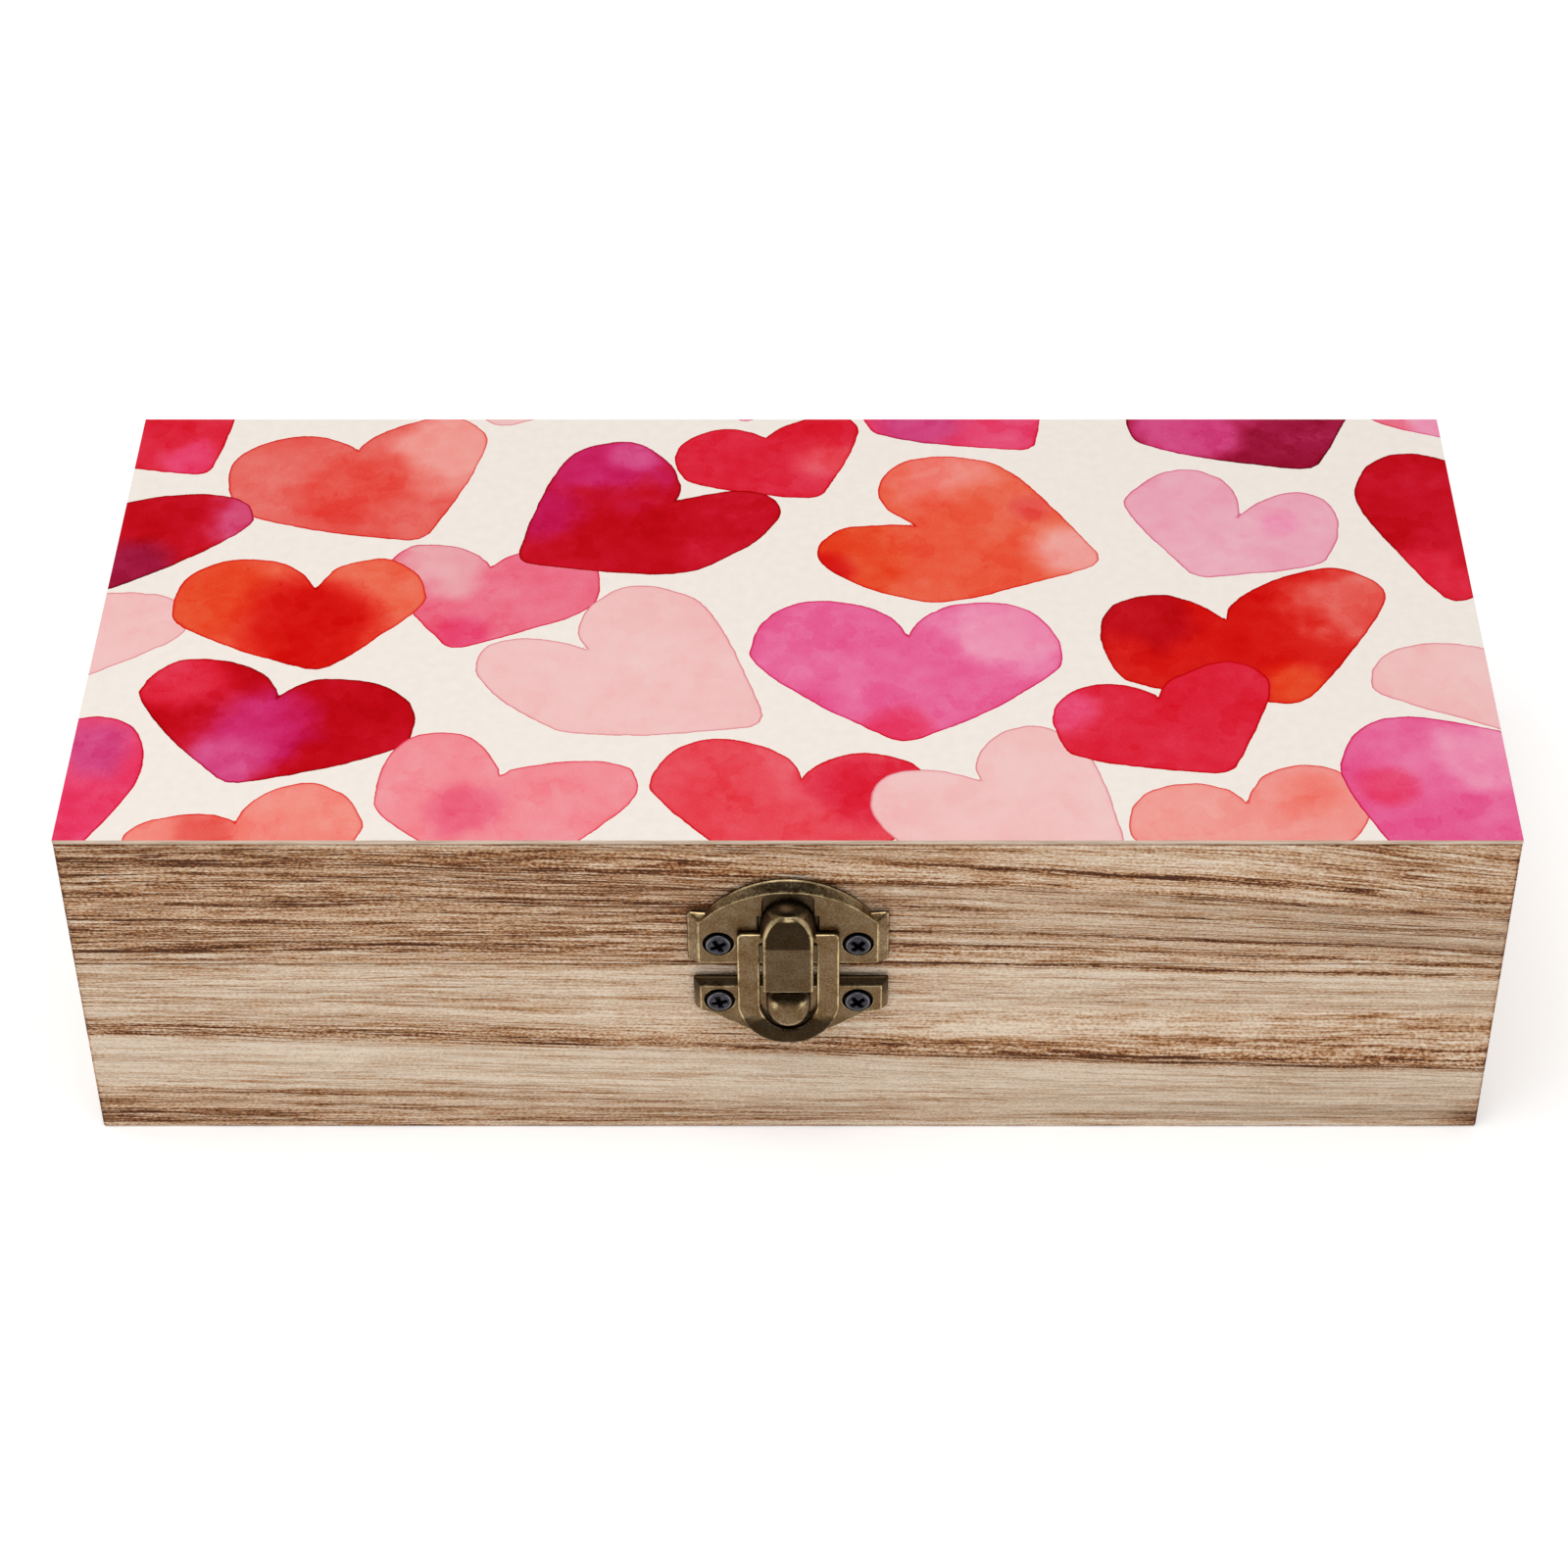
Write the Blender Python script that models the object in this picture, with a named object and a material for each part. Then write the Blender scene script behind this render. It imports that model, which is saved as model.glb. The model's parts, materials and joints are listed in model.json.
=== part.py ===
# Wooden keepsake box: a tray and a hinged lid of thin boards, a printed sheet over
# the lid, a stamped ring latch in front and two butt hinges behind.
# Metres, +Z up. The origin is the middle of the underside, and -Y is the front.

import math

import bmesh
import bpy
from mathutils import Matrix, Vector

MM = 0.001

# Box
BOX_LENGTH = 200.0 * MM
BOX_DEPTH = 96.5 * MM
TRAY_HEIGHT = 33.0 * MM
LID_HEIGHT = 23.4 * MM  # from the lid's lower edge to the top of the print
SEAM = 0.3 * MM  # between tray and lid
WALL = 7.0 * MM
TRAY_FLOOR = 4.0 * MM
LID_CEILING = 4.0 * MM
PRINT_SHEET = 0.8 * MM
GLUE_LINE = 0.3 * MM
BOARD_EDGE = 0.5 * MM  # rounding of the boards' edges
SHEET_EDGE = 0.2 * MM

# Both latch plates
PLATE_WIDTH = 28.0 * MM
PLATE_THICKNESS = 1.4 * MM
PLATE_SLOPE = 1.1 * MM  # how far the sloping edges run in
PLATE_TO_SEAM = 1.5 * MM
PLATE_BED = 0.3 * MM  # between plate and wood

# Plate on the lid
ARCH_TOP = 15.2 * MM  # above the plate's lower edge
EAR_TOP = 9.1 * MM
ARCH_WIDTH = 23.0 * MM
LID_SCREW_RISE = 3.9 * MM

# Plate on the tray
CATCH_SIDE = 5.7 * MM  # height of its straight sides
CATCH_STEP = 2.8 * MM
CATCH_STEP_DROP = 0.7 * MM
CATCH_HEIGHT = 10.9 * MM
CATCH_FOOT = 8.0 * MM
TRAY_SCREW_DROP = 3.8 * MM

# Latch screws
SCREW_INSET = 4.3 * MM  # from the plate's side
SCREW_SINK = 2.15 * MM  # radius of the round sinking around the head
SCREW_SINK_DEPTH = 0.9 * MM
SCREW_HEAD = 1.75 * MM  # radius
SCREW_HEAD_RISE = 0.65 * MM
SCREW_SEAT = 0.3 * MM  # between a screw's head and what it holds
SCREW_SHANK = 0.9 * MM  # radius
SCREW_GRIP = 5.0 * MM  # length in the wood
SHANK_PLAY = 0.3 * MM  # around a shank, in its hole

# Latch ring
RING_WIDTH = 14.4 * MM
RING_BAND = 3.15 * MM
RING_BAR = 1.4 * MM  # height of the straight bar at the top
RING_THICKNESS = 1.2 * MM
RING_CORNER = 0.75 * MM
RING_STRAIGHT = 13.4 * MM  # from the ring's top to the middle of its round end
RING_DROP = 6.5 * MM  # from there to the lowest edge
RING_INNER_DROP = 4.2 * MM
RING_LIP = 3.2 * MM  # height of the lowest stretch, which leans forward
RING_LIP_ANGLE = math.radians(12.0)
RING_TO_PLATE = 0.5 * MM
RING_PIVOT_RISE = 6.2 * MM  # above the lower edge of the lid's plate

# Hook that holds the ring's bar
HOOK_SIDE_PLAY = 0.6 * MM
HOOK_THICKNESS = 0.8 * MM
HOOK_BAR_PLAY = 0.25 * MM
HOOK_SHOULDER = 4.0 * MM  # height over which the hook leans back
HOOK_LEAN = 1.3 * MM
HOOK_CROWN = 1.9 * MM  # height of the last bend, down to the plate
HOOK_ROOT = 1.5 * MM  # half width where it meets the plate
HOOK_TO_NOSE = 1.9 * MM
WINDOW_PLAY = 0.15 * MM
WINDOW_NARROWING = 0.7 * MM
WINDOW_STEP_RISE = 3.0 * MM  # from the pivot to the step
WINDOW_BELOW_PIVOT = 2.4 * MM

# Nose that the ring hooks under
NOSE_SIDE_PLAY = 1.1 * MM
NOSE_OVER_RING = 0.85 * MM
NOSE_RISE = 5.45 * MM  # height of the nose
NOSE_REACH = 2.6 * MM  # beyond the plate's face
NOSE_TOP_REACH = 1.5 * MM
NOSE_LIP = 0.9 * MM  # thickness of its lower edge

# Hinges
HINGE_SPREAD = 120.0 * MM
LEAF_WIDTH = 16.0 * MM
LEAF_REACH = 9.2 * MM  # from the pin's axis
LEAF_THICKNESS = 0.7 * MM
LEAF_BED = 0.45 * MM
BARREL_RADIUS = 1.8 * MM
BARREL_GAP = 0.35 * MM
PIN_RADIUS = 0.6 * MM
PIN_PLAY = 0.3 * MM
PIN_PROUD = 0.3 * MM
KNUCKLE_GAP = 0.3 * MM
HINGE_SCREW_RISE = 5.6 * MM  # from the pin's axis
HINGE_SCREW_SPREAD = 9.0 * MM
HINGE_SCREW_HEAD = 1.5 * MM
HINGE_SCREW_HEAD_RISE = 0.45 * MM
HINGE_SCREW_SHANK = 0.7 * MM
HINGE_SCREW_GRIP = 4.5 * MM

BORE_SIDES = 20
ROUND_SIDES = 24
ARCH_STEPS = 16
BITE = 0.5 * MM  # how far cutters and joined stock run past a face

# Places worked out from the sizes above
FRONT = -BOX_DEPTH / 2
BACK = BOX_DEPTH / 2
LID_BOTTOM = TRAY_HEIGHT + SEAM
BOX_TOP = LID_BOTTOM + LID_HEIGHT
RAIL_TOP = BOX_TOP - PRINT_SHEET - GLUE_LINE
LID_PLATE_BOTTOM = LID_BOTTOM + PLATE_TO_SEAM
CATCH_TOP = TRAY_HEIGHT - PLATE_TO_SEAM
PLATE_FACE = PLATE_BED + PLATE_THICKNESS  # in front of the wood
SCREW_X = PLATE_WIDTH / 2 - SCREW_INSET
RING_BACK = PLATE_FACE + RING_TO_PLATE
PIVOT_OUT = RING_BACK + RING_THICKNESS / 2
PIVOT_Z = LID_PLATE_BOTTOM + RING_PIVOT_RISE
RING_TOP = PIVOT_Z + RING_BAR / 2
RING_CENTRE = RING_TOP - RING_STRAIGHT
RING_INSIDE = RING_WIDTH / 2 - RING_BAND
BAR_SWEEP = math.hypot(RING_BAR, RING_THICKNESS) / 2
HOOK_HALF = RING_INSIDE - HOOK_SIDE_PLAY
HOOK_INNER = PIVOT_OUT + BAR_SWEEP + HOOK_BAR_PLAY
HOOK_OUTER = HOOK_INNER + HOOK_THICKNESS
NOSE_HALF = RING_INSIDE - NOSE_SIDE_PLAY
NOSE_BOTTOM = RING_CENTRE - RING_INNER_DROP + NOSE_OVER_RING
NOSE_TOP = NOSE_BOTTOM + NOSE_RISE
HINGE_Y = BACK + BARREL_GAP + BARREL_RADIUS
HINGE_Z = TRAY_HEIGHT + SEAM / 2


def clear_scene():
    for old in list(bpy.data.objects):
        bpy.data.objects.remove(old)


def make_material(name, colour, metallic, roughness):
    material = bpy.data.materials.new(name)
    material.use_nodes = True
    shader = material.node_tree.nodes["Principled BSDF"]
    shader.inputs["Base Color"].default_value = (*colour, 1.0)
    shader.inputs["Metallic"].default_value = metallic
    shader.inputs["Roughness"].default_value = roughness
    return material


def make_empty(name, place, parent=None):
    empty = bpy.data.objects.new(name, None)
    bpy.context.scene.collection.objects.link(empty)
    empty.location = place
    if parent:
        empty.parent = parent
        empty.location = Vector(place) - world_place(parent)
    return empty


def world_place(thing):
    place = Vector(thing.location)
    if thing.parent:
        place += world_place(thing.parent)
    return place


def add_piece(name, bm, origin, material=None, parent=None):
    # The mesh comes in world coordinates, and its object's origin goes to the point given.
    bmesh.ops.translate(bm, verts=bm.verts, vec=-Vector(origin))
    bmesh.ops.recalc_face_normals(bm, faces=bm.faces)
    mesh = bpy.data.meshes.new(name)
    bm.to_mesh(mesh)
    bm.free()
    if material:
        mesh.materials.append(material)
    piece = bpy.data.objects.new(name, mesh)
    bpy.context.scene.collection.objects.link(piece)
    piece.location = Vector(origin)
    if parent:
        piece.parent = parent
        piece.location = Vector(origin) - world_place(parent)
    return piece


def smooth(piece, degrees=35.0):
    piece.data.shade_smooth()
    piece.data.set_sharp_from_angle(angle=math.radians(degrees))


def hide_helper(piece):
    piece.hide_render = True
    piece.display_type = "WIRE"
    return piece


def combine(piece, helper, operation):
    modifier = piece.modifiers.new(helper.name, "BOOLEAN")
    modifier.operation = operation
    modifier.solver = "EXACT"
    modifier.object = helper


def round_edges(piece, width, segments=2):
    modifier = piece.modifiers.new("edges", "BEVEL")
    modifier.width = width
    modifier.segments = segments
    modifier.limit_method = "ANGLE"
    modifier.angle_limit = math.radians(40.0)


def box_mesh(low, high):
    bm = bmesh.new()
    size = Vector(high) - Vector(low)
    middle = (Vector(high) + Vector(low)) / 2
    place = Matrix.Translation(middle) @ Matrix.Diagonal((*size, 1.0))
    bmesh.ops.create_cube(bm, size=1.0, matrix=place)
    return bm


def add_rod(bm, start, end, radius, sides):
    # A round rod from one point to another, added to the mesh.
    start = Vector(start)
    end = Vector(end)
    turn = (end - start).to_track_quat("Z", "Y").to_matrix().to_4x4()
    place = Matrix.Translation((start + end) / 2) @ turn
    bmesh.ops.create_cone(
        bm,
        cap_ends=True,
        segments=sides,
        radius1=radius,
        radius2=radius,
        depth=(end - start).length,
        matrix=place,
    )


def loft(bm, loops):
    # Skins rings of points of equal count and closes both ends.
    rings = [[bm.verts.new(point) for point in loop] for loop in loops]
    count = len(rings[0])
    for first, second in zip(rings, rings[1:]):
        for i in range(count):
            j = (i + 1) % count
            bm.faces.new((first[i], first[j], second[j], second[i]))
    bm.faces.new(rings[0])
    bm.faces.new(rings[-1])


def arc(centre_x, centre_z, radius_x, radius_z, start, end, steps):
    # Points of an elliptical arc in the XZ plane, both ends included, angles in degrees.
    points = []
    for i in range(steps + 1):
        angle = math.radians(start + (end - start) * i / steps)
        x = centre_x + radius_x * math.cos(angle)
        z = centre_z + radius_z * math.sin(angle)
        points.append((x, z))
    return points


def in_front(outline, out):
    # An outline in the XZ plane as points a distance out in front of the wood.
    return [(x, FRONT - out, z) for x, z in outline]


def board(name, low, high, material, parent=None):
    piece = add_piece(
        name,
        box_mesh(low, high),
        (Vector(low) + Vector(high)) / 2,
        material,
        parent,
    )
    return piece


def four_boards(prefix, bottom, top, material, parent=None):
    # Front and back run the whole length; the side boards stand between them.
    half = BOX_LENGTH / 2
    side_front = FRONT + WALL + GLUE_LINE
    side_back = BACK - WALL - GLUE_LINE
    spans = {
        "front": ((-half, FRONT, bottom), (half, FRONT + WALL, top)),
        "back": ((-half, BACK - WALL, bottom), (half, BACK, top)),
        "left": ((-half, side_front, bottom), (WALL - half, side_back, top)),
        "right": ((half - WALL, side_front, bottom), (half, side_back, top)),
    }
    boards = {}
    for side, (low, high) in spans.items():
        name = f"{prefix}_{side}"
        boards[side] = board(name, low, high, material, parent)
        round_edges(boards[side], BOARD_EDGE)
    return boards


def inner_panel(name, bottom, top, material, parent=None):
    # A panel that fills the space between four boards, less a glue line all round.
    half_length = BOX_LENGTH / 2 - WALL - GLUE_LINE
    half_depth = BOX_DEPTH / 2 - WALL - GLUE_LINE
    low = (-half_length, -half_depth, bottom)
    high = (half_length, half_depth, top)
    return board(name, low, high, material, parent)


def screw_mesh(seat, direction, head, head_rise, shank, length):
    # A turned screw: a domed head beyond its seat, and a shank with a pointed end.
    tip = 2 * shank
    profile = [
        (0.0, head_rise),
        (0.55 * head, 0.9 * head_rise),
        (0.9 * head, 0.6 * head_rise),
        (head, 0.25 * head_rise),
        (head, 0.0),
        (shank, 0.0),
        (shank, tip - length),
        (0.0, -length),
    ]
    turn = Vector(direction).to_track_quat("Z", "Y").to_matrix().to_4x4()
    place = Matrix.Translation(seat) @ turn
    bm = bmesh.new()
    rings = []
    for radius, height in profile:
        if radius == 0.0:
            rings.append([bm.verts.new(place @ Vector((0, 0, height)))])
            continue
        ring = []
        for i in range(BORE_SIDES):
            angle = 2 * math.pi * i / BORE_SIDES
            x = radius * math.cos(angle)
            y = radius * math.sin(angle)
            ring.append(bm.verts.new(place @ Vector((x, y, height))))
        rings.append(ring)
    for upper, lower in zip(rings, rings[1:]):
        for i in range(BORE_SIDES):
            j = (i + 1) % BORE_SIDES
            corners = [upper[i % len(upper)], upper[j % len(upper)]]
            corners += [lower[j % len(lower)], lower[i % len(lower)]]
            bm.faces.new(list(dict.fromkeys(corners)))
    return bm


def drill(piece, name, starts, direction, depth, radius):
    # Blind or through holes from the points given, cut by one helper.
    bm = bmesh.new()
    way = Vector(direction)
    for start in starts:
        first = Vector(start) - way * BITE
        add_rod(bm, first, Vector(start) + way * depth, radius, BORE_SIDES)
    helper = add_piece(name, bm, starts[0])
    combine(piece, hide_helper(helper), "DIFFERENCE")


def lid_plate_outline(inset):
    # Straight foot and sides, two ears and a round arch between them.
    half = PLATE_WIDTH / 2 - inset
    foot = LID_PLATE_BOTTOM
    ear = LID_PLATE_BOTTOM + EAR_TOP - inset
    sagitta = ARCH_TOP - EAR_TOP
    radius = ((ARCH_WIDTH / 2) ** 2 + sagitta**2) / (2 * sagitta)
    centre = LID_PLATE_BOTTOM + ARCH_TOP - radius
    start = math.degrees(math.asin((ear - centre) / (radius - inset)))
    arch = arc(
        0, centre, radius - inset, radius - inset, start, 180 - start, ARCH_STEPS
    )
    return [(-half, foot), (half, foot), (half, ear), *arch, (-half, ear)]


def catch_plate_outline(inset):
    # Straight top and sides, a small step in, and two slopes down to a short foot.
    half = PLATE_WIDTH / 2
    top = CATCH_TOP - inset
    side = CATCH_TOP - CATCH_SIDE
    step = side - CATCH_STEP_DROP
    foot = CATCH_TOP - CATCH_HEIGHT
    right = [
        (CATCH_FOOT / 2, foot),
        (half - CATCH_STEP, step),
        (half - inset, side),
        (half - inset, top),
    ]
    left = [(-x, z) for x, z in reversed(right)]
    return right + left


def plate_mesh(outline):
    # A stamped plate: full size at the wood, drawn in by the slope at its face.
    bm = bmesh.new()
    loft(
        bm,
        [
            in_front(outline(0.0), PLATE_BED),
            in_front(outline(PLATE_SLOPE), PLATE_FACE),
        ],
    )
    return bm


def sink_screws(plate, name, rise):
    # A shank hole through the plate and a wide round sinking for the head.
    hole_starts = [(side * SCREW_X, FRONT - PLATE_FACE, rise) for side in (-1, 1)]
    inward = (0, 1, 0)
    shank_hole = SCREW_SHANK + SHANK_PLAY
    drill(plate, f"{name}_sinkings", hole_starts, inward, SCREW_SINK_DEPTH, SCREW_SINK)
    through = PLATE_THICKNESS + BITE
    drill(plate, f"{name}_holes", hole_starts, inward, through, shank_hole)


def latch_screws(prefix, wood, rise, material, parent=None):
    seat_out = PLATE_FACE - SCREW_SINK_DEPTH + SCREW_SEAT
    length = seat_out + SCREW_GRIP
    for side, word in ((-1, "left"), (1, "right")):
        seat = (side * SCREW_X, FRONT - seat_out, rise)
        bm = screw_mesh(
            seat, (0, -1, 0), SCREW_HEAD, SCREW_HEAD_RISE, SCREW_SHANK, length
        )
        screw = add_piece(f"{prefix}_screw_{word}", bm, seat, material, parent)
        smooth(screw)
    starts = [(side * SCREW_X, FRONT, rise) for side in (-1, 1)]
    pilot = SCREW_SHANK + SHANK_PLAY
    depth = SCREW_GRIP + SHANK_PLAY
    drill(wood, f"{prefix}_pilots", starts, (0, 1, 0), depth, pilot)


def hook_mesh():
    # The hook's side view runs from its lower end up its flat face, leans back over the
    # bar and bends down to the plate. Each station is (half width, outer point, inner point).
    bend = PIVOT_Z + BAR_SWEEP - HOOK_BAR_PLAY
    crown = bend + HOOK_SHOULDER
    root = crown + HOOK_CROWN
    end = NOSE_TOP + HOOK_TO_NOSE
    under = HOOK_THICKNESS
    stations = [
        (HOOK_HALF, (HOOK_OUTER, end), (HOOK_INNER, end)),
        (HOOK_HALF, (HOOK_OUTER, bend), (HOOK_INNER, bend)),
    ]
    steps = 5
    for i in range(1, steps + 1):
        share = i / steps
        z = bend + share * HOOK_SHOULDER
        lean = HOOK_LEAN * share * share
        narrowing = math.sqrt(max(0.0, 1.0 - 0.8 * share * share))
        half = max(HOOK_HALF * narrowing, HOOK_ROOT)
        outer = (HOOK_OUTER - lean, z)
        inner = (HOOK_INNER - lean, z - 0.3 * under * share)
        stations.append((half, outer, inner))
    plate_middle = PLATE_BED + PLATE_THICKNESS / 2
    stations.append(
        (
            HOOK_ROOT,
            ((HOOK_OUTER - HOOK_LEAN + PLATE_FACE) / 2, root - 0.35 * HOOK_CROWN),
            (PLATE_FACE, root - HOOK_CROWN * 0.8),
        )
    )
    stations.append((HOOK_ROOT, (plate_middle, root), (plate_middle, root - under)))
    loops = []
    for half, (outer_out, outer_z), (inner_out, inner_z) in stations:
        loops.append(
            [
                (-half, FRONT - outer_out, outer_z),
                (half, FRONT - outer_out, outer_z),
                (half, FRONT - inner_out, inner_z),
                (-half, FRONT - inner_out, inner_z),
            ]
        )
    bm = bmesh.new()
    loft(bm, loops)
    return bm, root


def window_outline(root):
    wide = RING_INSIDE + WINDOW_PLAY
    narrow = wide - WINDOW_NARROWING
    low = PIVOT_Z - WINDOW_BELOW_PIVOT
    step = PIVOT_Z + WINDOW_STEP_RISE
    top = root - HOOK_THICKNESS / 2
    right = [(wide, low), (wide, step), (narrow, step), (narrow, top)]
    left = [(-x, z) for x, z in reversed(right)]
    return right + left


def nose_outline(inset):
    # Straight sides over a round end.
    half = NOSE_HALF - inset
    middle = NOSE_BOTTOM + NOSE_HALF
    top = NOSE_TOP - inset
    return [(half, top), (-half, top), *arc(0, middle, half, half, 180, 360, 10)]


def nose_mesh():
    # A solid nose: its face slopes out from the top to the round lower end.
    bm = bmesh.new()
    root = PLATE_BED + PLATE_THICKNESS / 2
    slope = (NOSE_REACH - NOSE_TOP_REACH) / NOSE_RISE

    def face(outline, back_off):
        points = []
        for x, z in outline:
            out = PLATE_FACE + NOSE_TOP_REACH + slope * (NOSE_TOP - z) - back_off
            points.append((x, FRONT - out, z))
        return points

    rim = 0.35 * NOSE_LIP
    loft(
        bm,
        [
            in_front(nose_outline(rim), root),
            face(nose_outline(0.0), NOSE_LIP),
            face(nose_outline(0.0), rim),
            face(nose_outline(rim), 0.0),
        ],
    )
    return bm


def ring_mesh():
    # Flat stock between two outlines: straight bar, straight legs and a round end.
    half = RING_WIDTH / 2
    corner = RING_CORNER
    outer = [
        *arc(half - corner, RING_TOP - corner, corner, corner, 90, 0, 3),
        *arc(0, RING_CENTRE, half, RING_DROP, 0, -180, ROUND_SIDES),
        *arc(corner - half, RING_TOP - corner, corner, corner, 180, 90, 3),
    ]
    bar_bottom = RING_TOP - RING_BAR
    inner = [
        (RING_INSIDE, bar_bottom),
        *arc(0, RING_CENTRE, RING_INSIDE, RING_INNER_DROP, 0, -180, ROUND_SIDES),
        (-RING_INSIDE, bar_bottom),
    ]
    bm = bmesh.new()
    outer_verts = [bm.verts.new(p) for p in in_front(outer, RING_BACK)]
    inner_verts = [bm.verts.new(p) for p in in_front(inner, RING_BACK)]
    edges = []
    for loop in (outer_verts, inner_verts):
        for first, second in zip(loop, loop[1:] + loop[:1]):
            edges.append(bm.edges.new((first, second)))
    bmesh.ops.triangle_fill(bm, edges=edges, use_beauty=True)
    crease = RING_CENTRE - RING_DROP + RING_LIP
    bmesh.ops.bisect_plane(
        bm,
        geom=bm.verts[:] + bm.edges[:] + bm.faces[:],
        plane_co=(0, 0, crease),
        plane_no=(0, 0, 1),
        dist=1e-7,
    )
    back_faces = bm.faces[:]
    made = bmesh.ops.extrude_face_region(bm, geom=back_faces, use_keep_orig=True)
    new_verts = [g for g in made["geom"] if isinstance(g, bmesh.types.BMVert)]
    bmesh.ops.translate(bm, verts=new_verts, vec=(0, -RING_THICKNESS, 0))
    # Below the crease the ring leans forward.
    lip = [v for v in bm.verts if v.co.z < crease - 1e-7]
    bmesh.ops.rotate(
        bm,
        verts=lip,
        cent=(0, FRONT - RING_BACK, crease),
        matrix=Matrix.Rotation(-RING_LIP_ANGLE, 3, "X"),
    )
    return bm


def knuckle_spans(x, middle):
    # Three knuckles share a leaf's width; one leaf has the middle one, the other the rest.
    length = (LEAF_WIDTH - 2 * KNUCKLE_GAP) / 3
    left = x - LEAF_WIDTH / 2
    starts = [left + i * (length + KNUCKLE_GAP) for i in range(3)]
    chosen = starts[1:2] if middle else starts[0::2]
    return [(start, start + length) for start in chosen]


def leaf_outline(x, spans):
    # (x, distance from the axis): notched beside the other leaf's knuckles.
    notch = BARREL_RADIUS + KNUCKLE_GAP
    root = 0.15 * BARREL_RADIUS
    left = x - LEAF_WIDTH / 2
    right = x + LEAF_WIDTH / 2
    edge = []
    if spans[0][0] > left:
        edge.append((left, notch))
    for start, end in spans:
        if start > left:
            edge.append((start, notch))
        edge.append((start, root))
        edge.append((end, root))
        if end < right:
            edge.append((end, notch))
    if spans[-1][1] < right:
        edge.append((right, notch))
    return [*edge, (right, LEAF_REACH), (left, LEAF_REACH)]


def hinge_leaf(name, x, up, material, parent=None):
    spans = knuckle_spans(x, middle=up > 0)
    outline = leaf_outline(x, spans)
    near = BACK + LEAF_BED
    far = near + LEAF_THICKNESS
    bm = bmesh.new()
    loft(bm, [[(px, y, HINGE_Z + up * d) for px, d in outline] for y in (near, far)])
    leaf = add_piece(name, bm, (x, HINGE_Y, HINGE_Z), material, parent)
    for number, (start, end) in enumerate(spans, 1):
        bm = bmesh.new()
        first = (start, HINGE_Y, HINGE_Z)
        last = (end, HINGE_Y, HINGE_Z)
        add_rod(bm, first, last, BARREL_RADIUS, ROUND_SIDES)
        knuckle = add_piece(f"{name}_knuckle_{number}", bm, first)
        combine(leaf, hide_helper(knuckle), "UNION")
    bore_start = (x - LEAF_WIDTH / 2, HINGE_Y, HINGE_Z)
    bore = PIN_RADIUS + PIN_PLAY
    drill(leaf, f"{name}_bore", [bore_start], (1, 0, 0), LEAF_WIDTH + BITE, bore)
    rise = HINGE_Z + up * HINGE_SCREW_RISE
    starts = [(x + s * HINGE_SCREW_SPREAD / 2, far, rise) for s in (-1, 1)]
    hole = HINGE_SCREW_SHANK + SHANK_PLAY
    drill(leaf, f"{name}_holes", starts, (0, -1, 0), LEAF_THICKNESS + BITE, hole)
    return leaf


def hinge_screws(name, x, up, wood, material, parent=None):
    seat_y = BACK + LEAF_BED + LEAF_THICKNESS + SCREW_SEAT
    length = seat_y - BACK + HINGE_SCREW_GRIP
    rise = HINGE_Z + up * HINGE_SCREW_RISE
    places = [x + s * HINGE_SCREW_SPREAD / 2 for s in (-1, 1)]
    for number, px in enumerate(places, 1):
        seat = (px, seat_y, rise)
        bm = screw_mesh(
            seat,
            (0, 1, 0),
            HINGE_SCREW_HEAD,
            HINGE_SCREW_HEAD_RISE,
            HINGE_SCREW_SHANK,
            length,
        )
        smooth(add_piece(f"{name}_{number}", bm, seat, material, parent))
    starts = [(px, BACK, rise) for px in places]
    pilot = HINGE_SCREW_SHANK + SHANK_PLAY
    depth = HINGE_SCREW_GRIP + SHANK_PLAY
    drill(wood, f"{name}_pilots", starts, (0, -1, 0), depth, pilot)


def hinge_pin(name, x, material):
    half = LEAF_WIDTH / 2 + PIN_PROUD
    bm = bmesh.new()
    first = (x - half, HINGE_Y, HINGE_Z)
    last = (x + half, HINGE_Y, HINGE_Z)
    add_rod(bm, first, last, PIN_RADIUS, BORE_SIDES)
    smooth(add_piece(name, bm, (x, HINGE_Y, HINGE_Z), material))


def build_latch(bronze, steel, tray_front, lid_front, lid_axis):
    ring_axis = make_empty("latch_ring_axis", (0, FRONT - PIVOT_OUT, PIVOT_Z), lid_axis)

    plate_place = (0, FRONT - PLATE_BED, LID_PLATE_BOTTOM)
    plate = add_piece(
        "latch_plate", plate_mesh(lid_plate_outline), plate_place, bronze, lid_axis
    )
    hook, root = hook_mesh()
    window = bmesh.new()
    outline = window_outline(root)
    loft(window, [in_front(outline, PLATE_BED - BITE), in_front(outline, PLATE_FACE + BITE)])
    window = add_piece("latch_plate_window", window, plate_place)
    combine(plate, hide_helper(window), "DIFFERENCE")
    hook = add_piece("latch_plate_hook", hook, plate_place)
    combine(plate, hide_helper(hook), "UNION")
    lid_rise = LID_PLATE_BOTTOM + LID_SCREW_RISE
    sink_screws(plate, "latch_plate", lid_rise)
    latch_screws("latch", lid_front, lid_rise, steel, lid_axis)

    catch_place = (0, FRONT - PLATE_BED, CATCH_TOP)
    catch = add_piece("catch_plate", plate_mesh(catch_plate_outline), catch_place, bronze)
    nose = add_piece("catch_plate_nose", nose_mesh(), catch_place)
    combine(catch, hide_helper(nose), "UNION")
    tray_rise = CATCH_TOP - TRAY_SCREW_DROP
    sink_screws(catch, "catch_plate", tray_rise)
    latch_screws("catch", tray_front, tray_rise, steel)

    ring = add_piece(
        "latch_ring", ring_mesh(), (0, FRONT - PIVOT_OUT, PIVOT_Z), bronze, ring_axis
    )
    smooth(ring)


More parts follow.
